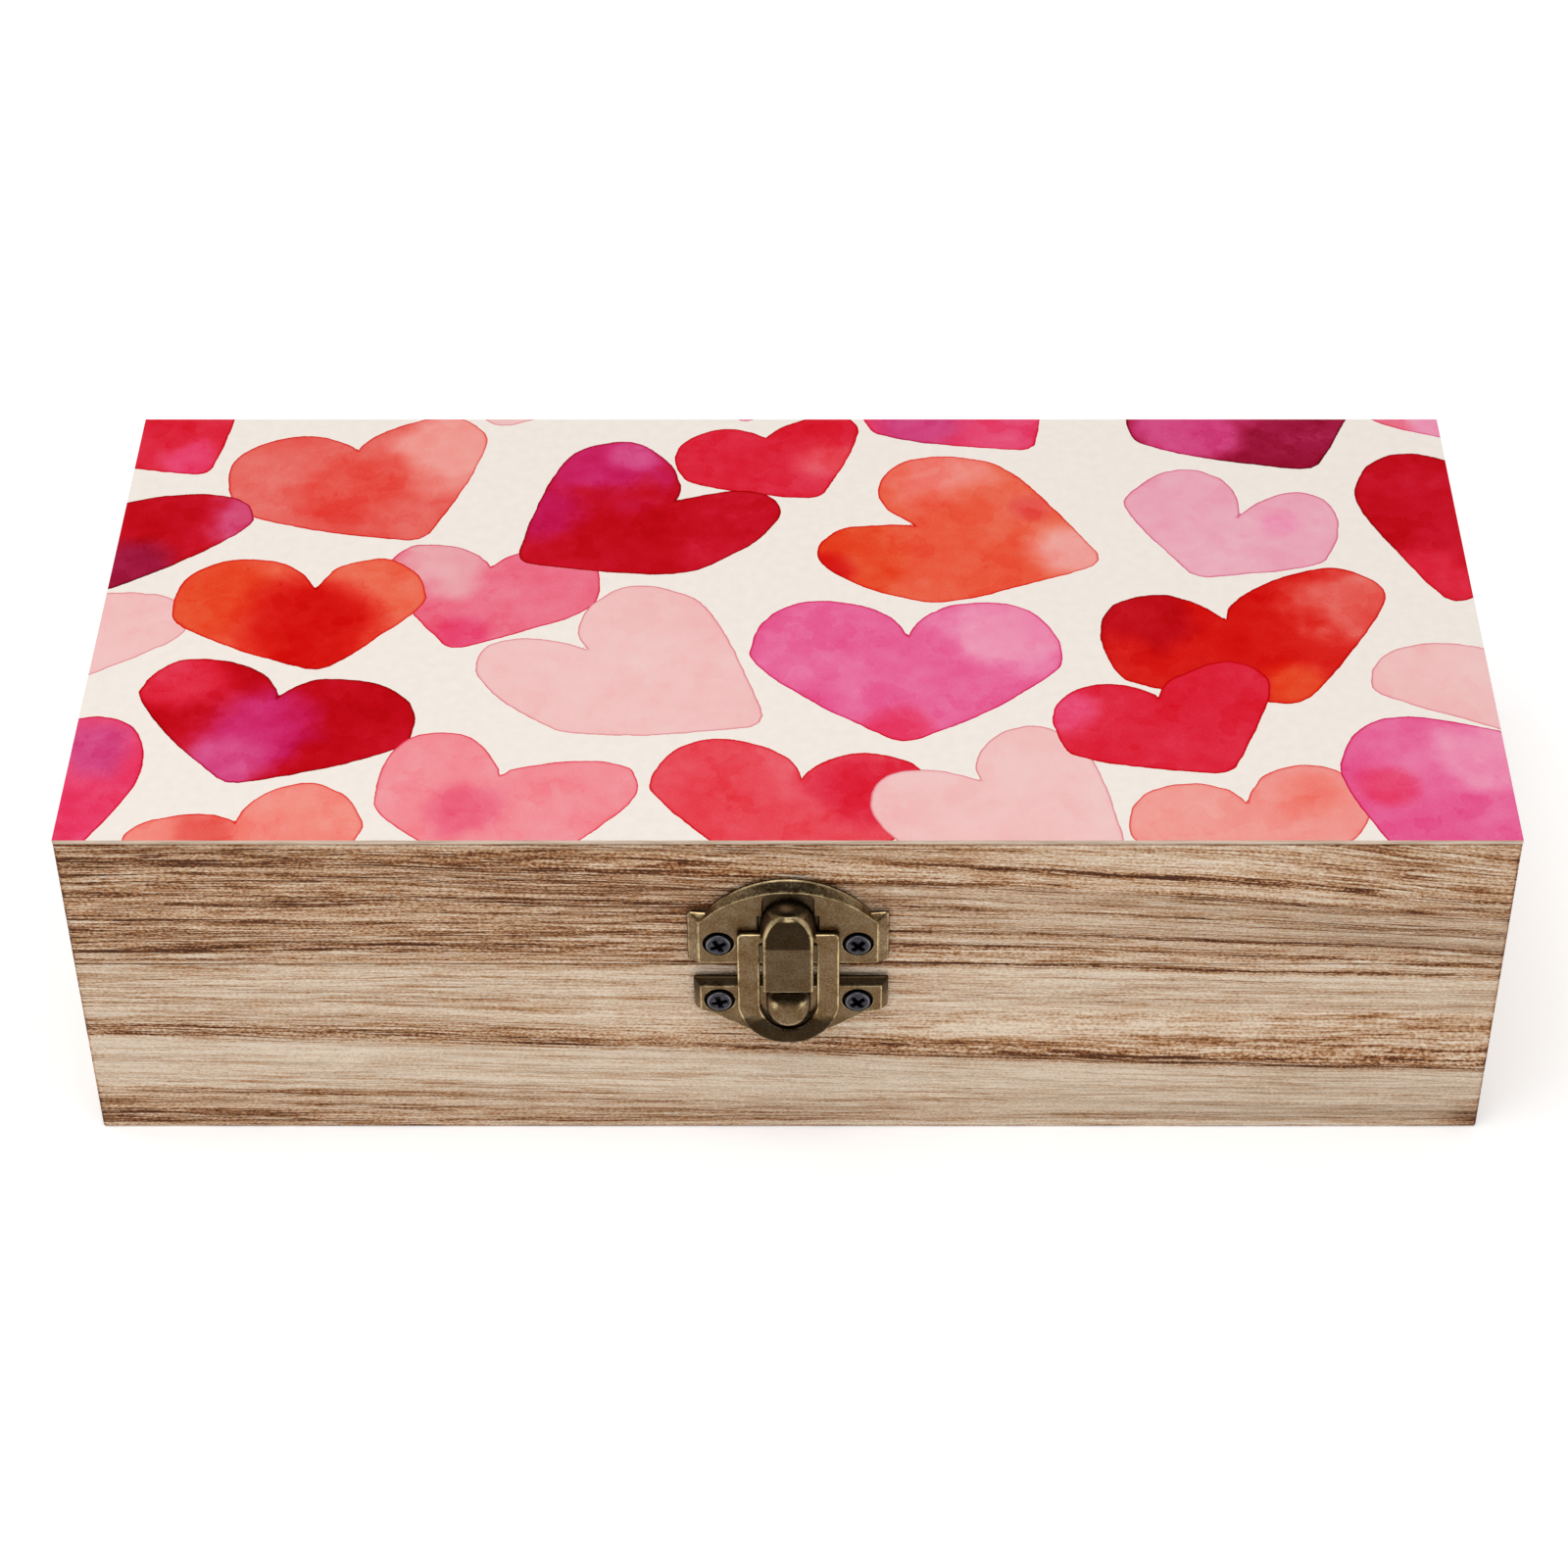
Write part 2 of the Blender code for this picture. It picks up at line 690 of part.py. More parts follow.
def build_hinges(bronze, steel, tray_back, lid_back, lid_axis):
    for side, word in ((-1, "left"), (1, "right")):
        x = side * HINGE_SPREAD / 2
        name = f"hinge_{word}"
        hinge_leaf(f"{name}_tray_leaf", x, -1, bronze)
        hinge_leaf(f"{name}_lid_leaf", x, 1, bronze, lid_axis)
        hinge_pin(f"{name}_pin", x, steel)
        hinge_screws(f"{name}_tray_screw", x, -1, tray_back, steel)
        hinge_screws(f"{name}_lid_screw", x, 1, lid_back, steel, lid_axis)


def build_box():
    wood = make_material("brushed_paulownia", (0.42, 0.28, 0.18), 0.0, 0.7)
    raw_wood = make_material("raw_plywood", (0.55, 0.42, 0.28), 0.0, 0.75)
    paper = make_material("printed_sheet", (0.90, 0.45, 0.45), 0.0, 0.5)
    bronze = make_material("antique_bronze", (0.15, 0.11, 0.06), 1.0, 0.45)
    steel = make_material("blackened_steel", (0.05, 0.05, 0.06), 1.0, 0.4)

    lid_axis = make_empty("lid_axis", (0, HINGE_Y, HINGE_Z))
    tray = four_boards("tray", 0.0, TRAY_HEIGHT, wood)
    inner_panel("tray_bottom", 0.0, TRAY_FLOOR, raw_wood)
    lid = four_boards("lid", LID_BOTTOM, RAIL_TOP, wood, lid_axis)
    inner_panel("lid_panel", RAIL_TOP - LID_CEILING, RAIL_TOP, raw_wood, lid_axis)
    half = BOX_LENGTH / 2
    sheet_low = (-half, FRONT, BOX_TOP - PRINT_SHEET)
    sheet = board("lid_print", sheet_low, (half, BACK, BOX_TOP), paper, lid_axis)
    round_edges(sheet, SHEET_EDGE, 1)

    build_latch(bronze, steel, tray["front"], lid["front"], lid_axis)
    build_hinges(bronze, steel, tray["back"], lid["back"], lid_axis)


clear_scene()
build_box()
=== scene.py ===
import json
import math
from functools import partial

import bmesh
import bpy
import numpy as np
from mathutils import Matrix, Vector
from mathutils.geometry import tessellate_polygon


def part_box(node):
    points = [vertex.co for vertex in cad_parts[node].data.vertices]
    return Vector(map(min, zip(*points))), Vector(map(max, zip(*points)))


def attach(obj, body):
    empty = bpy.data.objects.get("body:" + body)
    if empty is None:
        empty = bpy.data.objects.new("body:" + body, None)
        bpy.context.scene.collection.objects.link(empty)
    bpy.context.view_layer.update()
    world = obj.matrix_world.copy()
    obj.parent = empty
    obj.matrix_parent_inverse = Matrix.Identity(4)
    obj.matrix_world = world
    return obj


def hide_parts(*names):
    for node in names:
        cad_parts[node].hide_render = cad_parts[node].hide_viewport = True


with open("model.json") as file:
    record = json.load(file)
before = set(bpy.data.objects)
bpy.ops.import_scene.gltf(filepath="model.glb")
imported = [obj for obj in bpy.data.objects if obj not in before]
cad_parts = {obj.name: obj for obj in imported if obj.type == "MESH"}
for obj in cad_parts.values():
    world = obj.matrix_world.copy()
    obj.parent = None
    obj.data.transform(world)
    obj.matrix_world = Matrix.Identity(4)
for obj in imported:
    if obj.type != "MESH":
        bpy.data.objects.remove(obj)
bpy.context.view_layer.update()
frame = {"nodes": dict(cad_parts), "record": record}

mm = 0.001


def corners(node):
    # A CAD node's lowest and highest corner, in mm.
    return [np.array(corner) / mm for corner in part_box(node)]


frontFace = corners("lid_front")[0][1]  # y of the wood's front face
boxHalf, _, boxTop = corners("lid_print")[1]  # half the box's length, and its height


# Numbers to colours, noise, meshes and nodes


def linear(hexText):
    # sRGB hex to linear light, for Blender's colour sockets.
    raw = np.array([int(hexText[i:i + 2], 16) for i in (1, 3, 5)]) / 255
    light = np.where(raw <= 0.04045, raw / 12.92, ((raw + 0.055) / 1.055) ** 2.4)
    return (*light.tolist(), 1.0)


def softStep(low, high, value):
    share = np.clip((value - low) / (high - low), 0, 1)
    return share * share * (3 - 2 * share)


def unit(vectors):
    # The vectors brought to length one.
    return vectors / np.maximum(np.linalg.norm(vectors, axis=1, keepdims=True), 1e-9)


def noise(u, v, seed):
    # Value noise from 0 to 1: random heights on the whole-number points of a plane, and
    # between them a blend with smooth steps.
    heights = np.random.default_rng(seed).random((256, 256))
    i, j = np.floor(u).astype(int), np.floor(v).astype(int)
    a, b = softStep(0, 1, u - i), softStep(0, 1, v - j)
    i, j, k, l = i % 256, j % 256, (i + 1) % 256, (j + 1) % 256
    first = heights[i, j] * (1 - a) + heights[k, j] * a
    second = heights[i, l] * (1 - a) + heights[k, l] * a
    return first * (1 - b) + second * b


def layeredNoise(u, v, seed, layers=3):
    # Sum of noises, each twice as fine and half as strong as the one before.
    total = sum(noise(u * 2**n + 7.3 * n, v * 2**n + 3.1 * n, seed + n) / 2**n
                for n in range(layers))
    return total / sum(1 / 2**n for n in range(layers))


def makePiece(name, points, faces, look, body, replaced, fields, sharp=None):
    # Points in mm become a closed mesh at the origin that rides a body. The look is a
    # material and a slot name, which is not used. Fields are values per point: one number, or three
    # for a vector.
    mesh = bpy.data.meshes.new(name)
    mesh.from_pydata((np.asarray(points) * mm).tolist(), [], faces)
    for field, values in fields.items():
        values = np.asarray(values, np.float32).ravel()
        kind, key = ("FLOAT", "value") if len(values) == len(points) else ("FLOAT_VECTOR", "vector")
        mesh.attributes.new(field, kind, "POINT").data.foreach_set(key, values)
    bm = bmesh.new()
    bm.from_mesh(mesh)
    bmesh.ops.recalc_face_normals(bm, faces=bm.faces)
    bm.to_mesh(mesh)
    bm.free()
    mesh.shade_smooth()
    if sharp:
        mesh.set_sharp_from_angle(angle=math.radians(sharp))
    material, slotName = look
    mesh.materials.append(material)
    piece = bpy.data.objects.new(name, mesh)
    bpy.context.scene.collection.objects.link(piece)
    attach(piece, body)
    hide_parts(*replaced)


def fill(node, inputs):
    # Sets a node's sockets, by name or number. Each gets a constant, another node's socket,
    # or a node, which stands for its first live output.
    for key, value in inputs.items():
        if isinstance(value, bpy.types.Node):
            value = next(output for output in value.outputs if output.enabled)
        if isinstance(value, bpy.types.NodeSocket):
            node.id_data.links.new(value, node.inputs[key])
        else:
            node.inputs[key].default_value = value


def addNode(tree, kind, *inputs, **settings):
    # Adds a shader node. Its operation follows its kind after a space. Its first sockets
    # follow in their order, or else one dictionary of sockets.
    kind, *operation = kind.split()
    node = tree.nodes.new("ShaderNode" + kind)
    for key, value in settings.items():
        setattr(node, key, value)
    if operation:
        node.operation = operation[0]
    fill(node, inputs[0] if inputs and isinstance(inputs[0], dict) else dict(enumerate(inputs)))
    return node


def newMaterial(name, **sockets):
    # A Principled material, what adds nodes to it, and its shader. Constants go on the
    # shader's own sockets.
    material = bpy.data.materials.new(name)
    material.use_nodes = True
    shader = material.node_tree.nodes["Principled BSDF"]
    fill(shader, {key.replace("_", " "): value for key, value in sockets.items()})
    return material, partial(addNode, material.node_tree), shader


def setRamp(node, stops):
    # Colour stops as (place, hex). Gives the node back.
    elements = node.color_ramp.elements
    while len(elements) < len(stops):
        elements.new(1.0)
    for element, (place, tone) in zip(elements, stops):
        element.position = place
        element.color = linear(tone)
    return node


smooth = {"interpolation_type": "SMOOTHSTEP"}
rgba = {"data_type": "RGBA"}


# Wood

woodLook = {
    "ramp": [  # from the palest early wood to the darkest line
        (0.0, "#f6e3cd"), (0.15, "#e9d0b5"), (0.36, "#d9b491"), (0.56, "#be8d61"),
        (0.78, "#90562a"), (1.0, "#522809"),
    ],
    # length and width in mm, detail, roughness, a line's seed, weight in tone and in relief
    "layers": [
        (60, 1.0, 1, 0.5, None, 0.12, 0),  # soft streaks
        (26, 0.32, 2, 0.6, None, 0.95, 0.8),  # fibres
        (7, 0.22, 1, 0.5, None, 1.2, 1),  # fine short fibres
        (0.5, 0.21, 1, 0.5, None, 1.25, 1.3),  # cut ends and dust in the pores
        (34, 0.62, 2, 0.5, 0, 0.38, -0.3),  # thin dark pore lines, in two sizes
        (14, 0.42, 2, 0.5, 5, 0.26, -0.3),
    ],
    "patches": (0.02, 0.7, 0.7),  # per mm, where there are pore lines
    "lineWidth": (0.07, 0.02),  # a line's outer and inner limit in its field
    "waves": (16, 3), "swing": 0.5,  # length and width of the fibres' waves, their swing
    "busy": (1.2, 0.48),  # how much stronger fibres are in a dark band, and their least
    "bump": 0.26,  # mm
}


def brushedWood(name, toneShift, contrast):
    # Carbonised paulownia, wire-brushed: soft early wood is scraped out between the hard
    # dark lines, so the eye sees fine ridges along the grain, matt with a faint sheen.
    # "grain" is (along, across the rings, depth) in mm and "tone" is the band's darkness.
    material, add, shader = newMaterial(name, Roughness=0.62, Specular_IOR_Level=0.2)
    grain = add("Attribute", attribute_name="grain").outputs["Vector"]
    tone = add("Attribute", attribute_name="tone").outputs["Fac"]
    (long, wide), swing = woodLook["waves"], woodLook["swing"]
    waves = add("VectorMath MULTIPLY", grain, (1 / long, 1 / wide, 1 / wide))
    waves = add("TexNoise", waves, 0, 1, 2).outputs["Color"]
    bent = add("VectorMath MULTIPLY_ADD", waves, (0, swing, swing), grain)
    patches = add("TexNoise", add("VectorMath MULTIPLY", bent, woodLook["patches"]), 0, 1, 1)
    allowed = add("MapRange", patches, 0.28, 0.62, **smooth)

    # The darker the band, the stronger its fibres.
    grows, least = woodLook["busy"]
    busy = add("Math MULTIPLY_ADD", tone, grows * contrast, least * contrast)
    total = add("Math MULTIPLY_ADD", tone, 0.9, toneShift - 0.05)
    height = 0
    for long, wide, detail, rough, seed, weight, relief in woodLook["layers"]:
        line = seed is not None
        drawn = add("VectorMath MULTIPLY", bent, (1 / long, 1 / wide, 1 / wide))
        field = add("TexNoise", drawn, seed or 0, 1, detail, rough,
                    noise_dimensions="4D" if line else "3D")
        field = add("Math SUBTRACT", field, 0.5)
        if line:
            # Thin and dark where the field crosses its middle value.
            field = add("MapRange", add("Math ABSOLUTE", field), *woodLook["lineWidth"], **smooth)
            field = add("Math MULTIPLY", field, allowed)
        share = add("Math MULTIPLY", busy, weight)
        total = add("Math MULTIPLY_ADD", field, share, total)
        height = add("Math MULTIPLY_ADD", field, relief, height)
    bump = add("Bump", {"Height": height, "Distance": woodLook["bump"] * mm, "Strength": 0.9})
    fill(shader, {"Base Color": setRamp(add("ValToRGB", total), woodLook["ramp"]), "Normal": bump})
    return material


def cuts(length, step, low, high):
    # Places along one edge: even steps, and a few more over each rounded end.
    turn = 1 - np.tan(np.linspace(math.pi / 4, 0, 4))
    count = max(2, round((length - low - high) / step))
    inner = np.linspace(low, length - high, count + 1)
    return np.concatenate([low * turn[:-1], inner, (length - high * turn)[:-1][::-1]])


def roundedBox(low, high, steps, radiiLow, radiiHigh, plain=()):
    # A box whose faces are grids. A point outside the inner box, smaller by the radii, goes
    # to the ellipsoid of those radii round the inner box's nearest point. Faces named in
    # plain, as (axis, side), are one flat polygon.
    size = high - low
    places = [cuts(size[a], steps[a], radiiLow[a], radiiHigh[a]) for a in range(3)]
    used = np.zeros([len(p) for p in places], bool)
    sides = [(axis, side) for axis in range(3) for side in (0, -1)]
    for axis, side in sides:
        keep = [slice(1, -1)] * 3
        keep[axis] = side
        used[tuple(keep)] = (axis, side) not in plain
    for axis, side in sides:
        for other in (0, -1):
            edge = [side, other]
            edge.insert(axis, slice(None))
            used[tuple(edge)] = True
    index = np.full(used.shape, -1)
    index[used] = np.arange(used.sum())
    where = np.argwhere(used)
    points = np.stack([places[a][where[:, a]] for a in range(3)], -1)
    faces = []
    for axis, side in sides:
        sheet = np.take(index, side, axis=axis)
        if (axis, side) in plain:
            faces.append(np.concatenate([sheet[:-1, 0], sheet[-1, :-1], sheet[:0:-1, -1],
                                         sheet[0, :0:-1]]).tolist())
            continue
        quads = np.stack([sheet[:-1, :-1], sheet[1:, :-1], sheet[1:, 1:], sheet[:-1, 1:]], -1)
        faces.extend(quads.reshape(-1, 4).tolist())
    inner = np.clip(points, radiiLow, size - radiiHigh)
    away = points - inner
    radius = np.where(away < 0, radiiLow, radiiHigh)
    return low + inner + unit(away / radius) * radius, faces


frontGrain = {
    "stations": [-100, -66.7, -33.3, 0, 33.3, 66.7, 100],
    # each grain line's ring number, and its depth below the box's top at the stations
    "lines": [
        (-2.6, [-1.2, -1.5, -1, 0, 0.4, 1.8, 6.9]),
        (1.5, [1.5, 1.6, 1.6, 3.1, 5.4, 8.1, 12.2]),
        (4, [4, 4, 5.4, 7.2, 8.4, 11.5, 14.1]),
        (10.4, [10.4, 10.1, 11.1, 12.2, 13, 15.6, 18.2]),
        (16.6, [16.6, 16.8, 16.6, 17.4, 17.5, 19.2, 21.2]),
        (20.2, [20.2, 20.2, 20.2, 20.2, 20.4, 22.2, 24]),
        (22.5, [22.5, 22.6, 22.6, 22.8, 23.6, 24.8, 25.9]),
        (31.2, [31.2, 31.5, 32.2, 32.8, 32.8, 32.9, 33.1]),
        (36.2, [36.2, 37.1, 38.6, 39.5, 41.6, 43.1, 44.1]),
        (48.1, [48.1, 49, 49.8, 50.6, 51.2, 51.9, 52.2]),
        (55, [55, 55, 55.1, 55.1, 55.2, 55.2, 55.2]),
        (62, [62, 62, 62, 62, 62, 62, 62]),
    ],
    # ring number, darkness at the left end and at the right end
    "bands": [
        (-6, 0.4, 0.35), (-1, 0.4, 0.31), (1, 0.39, 0.33), (1.5, 0.46, 0.75),
        (2.1, 0.42, 0.37), (3.2, 0.5, 0.31), (3.9, 0.65, 0.53), (4.8, 0.62, 0.51),
        (5.6, 0.48, 0.31), (7.5, 0.5, 0.29), (9.6, 0.5, 0.31), (10.3, 0.7, 0.59),
        (10.9, 0.53, 0.39), (13, 0.51, 0.25), (15.8, 0.46, 0.27), (16.5, 0.66, 0.61),
        (17.3, 0.54, 0.39), (18.6, 0.32, 0.23), (19.8, 0.6, 0.61), (20.8, 0.64, 0.41),
        (21.4, 0.26, 0.26), (22.2, 0.3, 0.32), (22.5, 0.66, 0.74), (22.9, 0.24, 0.52),
        (23.6, 0.19, 0.18), (27, 0.17, 0.18), (30.5, 0.19, 0.2), (34, 0.17, 0.26),
        (35, 0.39, 0.44), (36.2, 0.51, 0.6), (37.2, 0.55, 0.64), (38, 0.19, 0.3),
        (38.8, 0.09, 0.12), (43, 0.08, 0.1), (47.5, 0.15, 0.12), (48.6, 0.35, 0.16),
        (50.5, 0.29, 0.16), (53, 0.42, 0.2), (54.5, 0.44, 0.24), (60, 0.42, 0.22),
    ],
    "spots": [(-97, 2.5, 12, 4, 0.14), (99, 2, 4, 4, 0.4)],  # dark: x, z, half sizes, strength
}


def frontField(x, z, depth):
    # The ring number of a point: between two grain lines it runs evenly from one's number
    # to the next one's. Slow waves bend it a little.
    below = boxTop - z + 0.55 * (layeredNoise(x / 17, z / 9, 11) - 0.5) + 0.5 * depth
    fine = np.linspace(-104, 104, 417)
    soft = np.exp(-0.5 * (np.arange(-40, 41) / 16) ** 2)
    soft /= soft.sum()
    rows = []
    for _, depths in frontGrain["lines"]:
        line = np.interp(fine, frontGrain["stations"], depths)
        rows.append(np.interp(x, fine, np.convolve(np.pad(line, 40, "edge"), soft, "valid")))
    rows = np.array(rows)
    rings = np.array([ring for ring, _ in frontGrain["lines"]])
    k = np.clip((below >= rows).sum(0) - 1, 0, len(rings) - 2)
    place = np.arange(len(x))
    share = (below - rows[k, place]) / (rows[k + 1, place] - rows[k, place])
    ring = rings[k] + share * (rings[k + 1] - rings[k])
    ragged = ring + 0.3 * (layeredNoise(x / 20, ring / 0.7, 21) - 0.5)
    side = softStep(-70, 60, x + 30 * (noise(x / 30, z / 12, 5) - 0.5))
    number, left, right = np.array(frontGrain["bands"]).T
    tone = np.interp(ragged, number, left) * (1 - side) + np.interp(ragged, number, right) * side
    for cx, cz, rx, rz, strength in frontGrain["spots"]:
        spot = ((x - cx) / rx) ** 2 + ((z - cz) / rz) ** 2
        tone = tone + strength * np.exp(-1.5 * spot)
    # A pale strip over a dark line along the foot, and darker upright edges.
    tone = tone - 0.22 * np.exp(-((z - 0.85) / 0.35) ** 2) + 0.35 * np.exp(-(z / 0.3) ** 2)
    end = softStep(boxHalf - 0.55, boxHalf - 0.15, np.abs(x)) * softStep(1.2, 0.4, depth)
    return ring, tone + 0.3 * end


def plainField(along, down, depth, seed):
    # Hidden sides: rings as slow waves, and bands of random darkness.
    ring = down + 0.5 * depth + 5 * (layeredNoise(along / 60, down / 30, seed) - 0.5)
    ring = ring + 0.5 * (layeredNoise(along / 15, down / 8, seed + 3) - 0.5)
    wide = layeredNoise(ring / 5, along / 160, seed + 9, 2)
    thin = layeredNoise(ring / 0.8, along / 60, seed + 14, 2)
    tone = 0.28 + 0.6 * (wide - 0.5) + 0.22 * np.maximum(thin - 0.52, 0) / 0.2
    return ring, np.clip(tone, 0.02, 0.85)


boardLook = {
    "sides": {  # grain axis, outward side, steps of its grid in mm
        "front": (0, -1, (1, 1.5, 0.2)), "back": (0, 1, (1.6, 1.5, 0.4)),
        "left": (1, -1, (1.5, 1.6, 0.4)), "right": (1, 1, (1.5, 1.6, 0.4)),
    },
    "edge": 0.45,  # rounding of the outer edges, mm
    "seam": 0.12,  # rounding at the seam between lid and tray
    "closer": 0.09,  # how far lid and tray each reach into the CAD model's seam
    "glueLine": 0.1,  # how far a lid board reaches up to the sheet
    "relief": 0.04,  # depth of the brushed lines
    "panelEdge": 0.15,
}


def makeBoard(body, side, seed):
    # One board, brushed on its outward side, where soft early wood lies lower: long fine
    # furrows that follow the rings.
    k = boardLook
    name = f"{body}_{side}"
    axis, outward, steps = k["sides"][side]
    low, high = corners(name)
    radiiLow, radiiHigh = np.full((2, 3), k["edge"])
    if body == "lid":
        radiiLow[2] = radiiHigh[2] = k["seam"]
        low[2] -= k["closer"]
        high[2] += k["glueLine"]
    else:
        radiiHigh[2] = k["seam"]
        high[2] += k["closer"]
    points, faces = roundedBox(low, high, steps, radiiLow, radiiHigh)
    x, y, z = points.T
    along = x if axis == 0 else y
    across = 1 - axis
    depth = np.abs(points[:, across] - (high if outward > 0 else low)[across])
    if side == "front":
        ring, tone = frontField(x, z, depth)
    else:
        ring, tone = plainField(along, boxTop - z, depth, seed)
    furrows = softStep(0.35, 0.75, layeredNoise(along / 30, ring / 0.45, seed, 2))
    points[:, across] -= outward * k["relief"] * ((0.65 - tone * 0.5) * furrows) * (depth < 0.01)
    grain = np.stack([along + 37.0 * seed, ring + 11.0 * seed, depth], -1)
    makePiece(name + "Board", points, faces, wood, body, [name], {"grain": grain, "tone": tone})


def makePanel(name, body, seed):
    # Thin inset panel, grain along the box.
    low, high = corners(name)
    radii = np.full(3, boardLook["panelEdge"])
    points, faces = roundedBox(low, high, (3, 0.8, 2), radii, radii)
    x, y, z = points.T
    ring, tone = plainField(x, y, z - low[2], seed)
    grain = np.stack([x + 37.0 * seed, ring, z - low[2]], -1)
    makePiece(name + "Panel", points, faces, rawWood, body, [name],
              {"grain": grain, "tone": 0.5 * tone})


wood = brushedWood("brushedPaulownia", 0, 1), "brushed_wood"
rawWood = brushedWood("sandedPaulownia", -0.02, 0.55), "raw_wood"
for body in ("tray", "lid"):
    for seed, side in enumerate(boardLook["sides"], 1):
        makeBoard(body, side, seed)
print("boards done")
makePanel("tray_bottom", "tray", 5)
makePanel("lid_panel", "lid", 6)
print("panels done")


# The printed sheet: scattered watercolour hearts

printLook = {
    "paper": "#f1e8df",
    "cell": 0.48,  # mm of the sheet's grid
    "rimWidth": 0.34,  # mm of the dark rim along a heart's edge
    "rimDepth": 0.95,  # how strong it is
    "edge": 0.12,  # rounding of the sheet's edges, mm
    "wash": 0.64,  # how much pigment there is where no noise adds to it
    # W, scale per metre and detail of the paint's grains 0.4 mm, clouds 2.4 mm, blooms 6 mm
    # and the paper's mottling 1.7 mm
    "noises": [(0, 2400, 2), (3, 420, 4), (7, 170, 3), (11, 600, 2)],
}
pigments = {
    "crimson": "#c2071a", "deepRed": "#bd0713", "scarlet": "#d5150f", "flame": "#e53f1f",
    "orange": "#ea5a40", "tomato": "#e5463c", "coral": "#e66057", "salmon": "#f3867a",
    "peach": "#f29a91", "cherry": "#dc2238", "strawberry": "#e64854", "rose": "#e63f68",
    "magenta": "#c81f5c", "fuchsia": "#d2447c", "wine": "#960d30", "candy": "#f3868f",
    "pink": "#ea6a82", "orchid": "#e65f92", "lilac": "#ed90b0", "mauve": "#eba7b7",
    "blush": "#f1bebc", "dusty": "#e99ca4", "raspberry": "#d2456f",
}

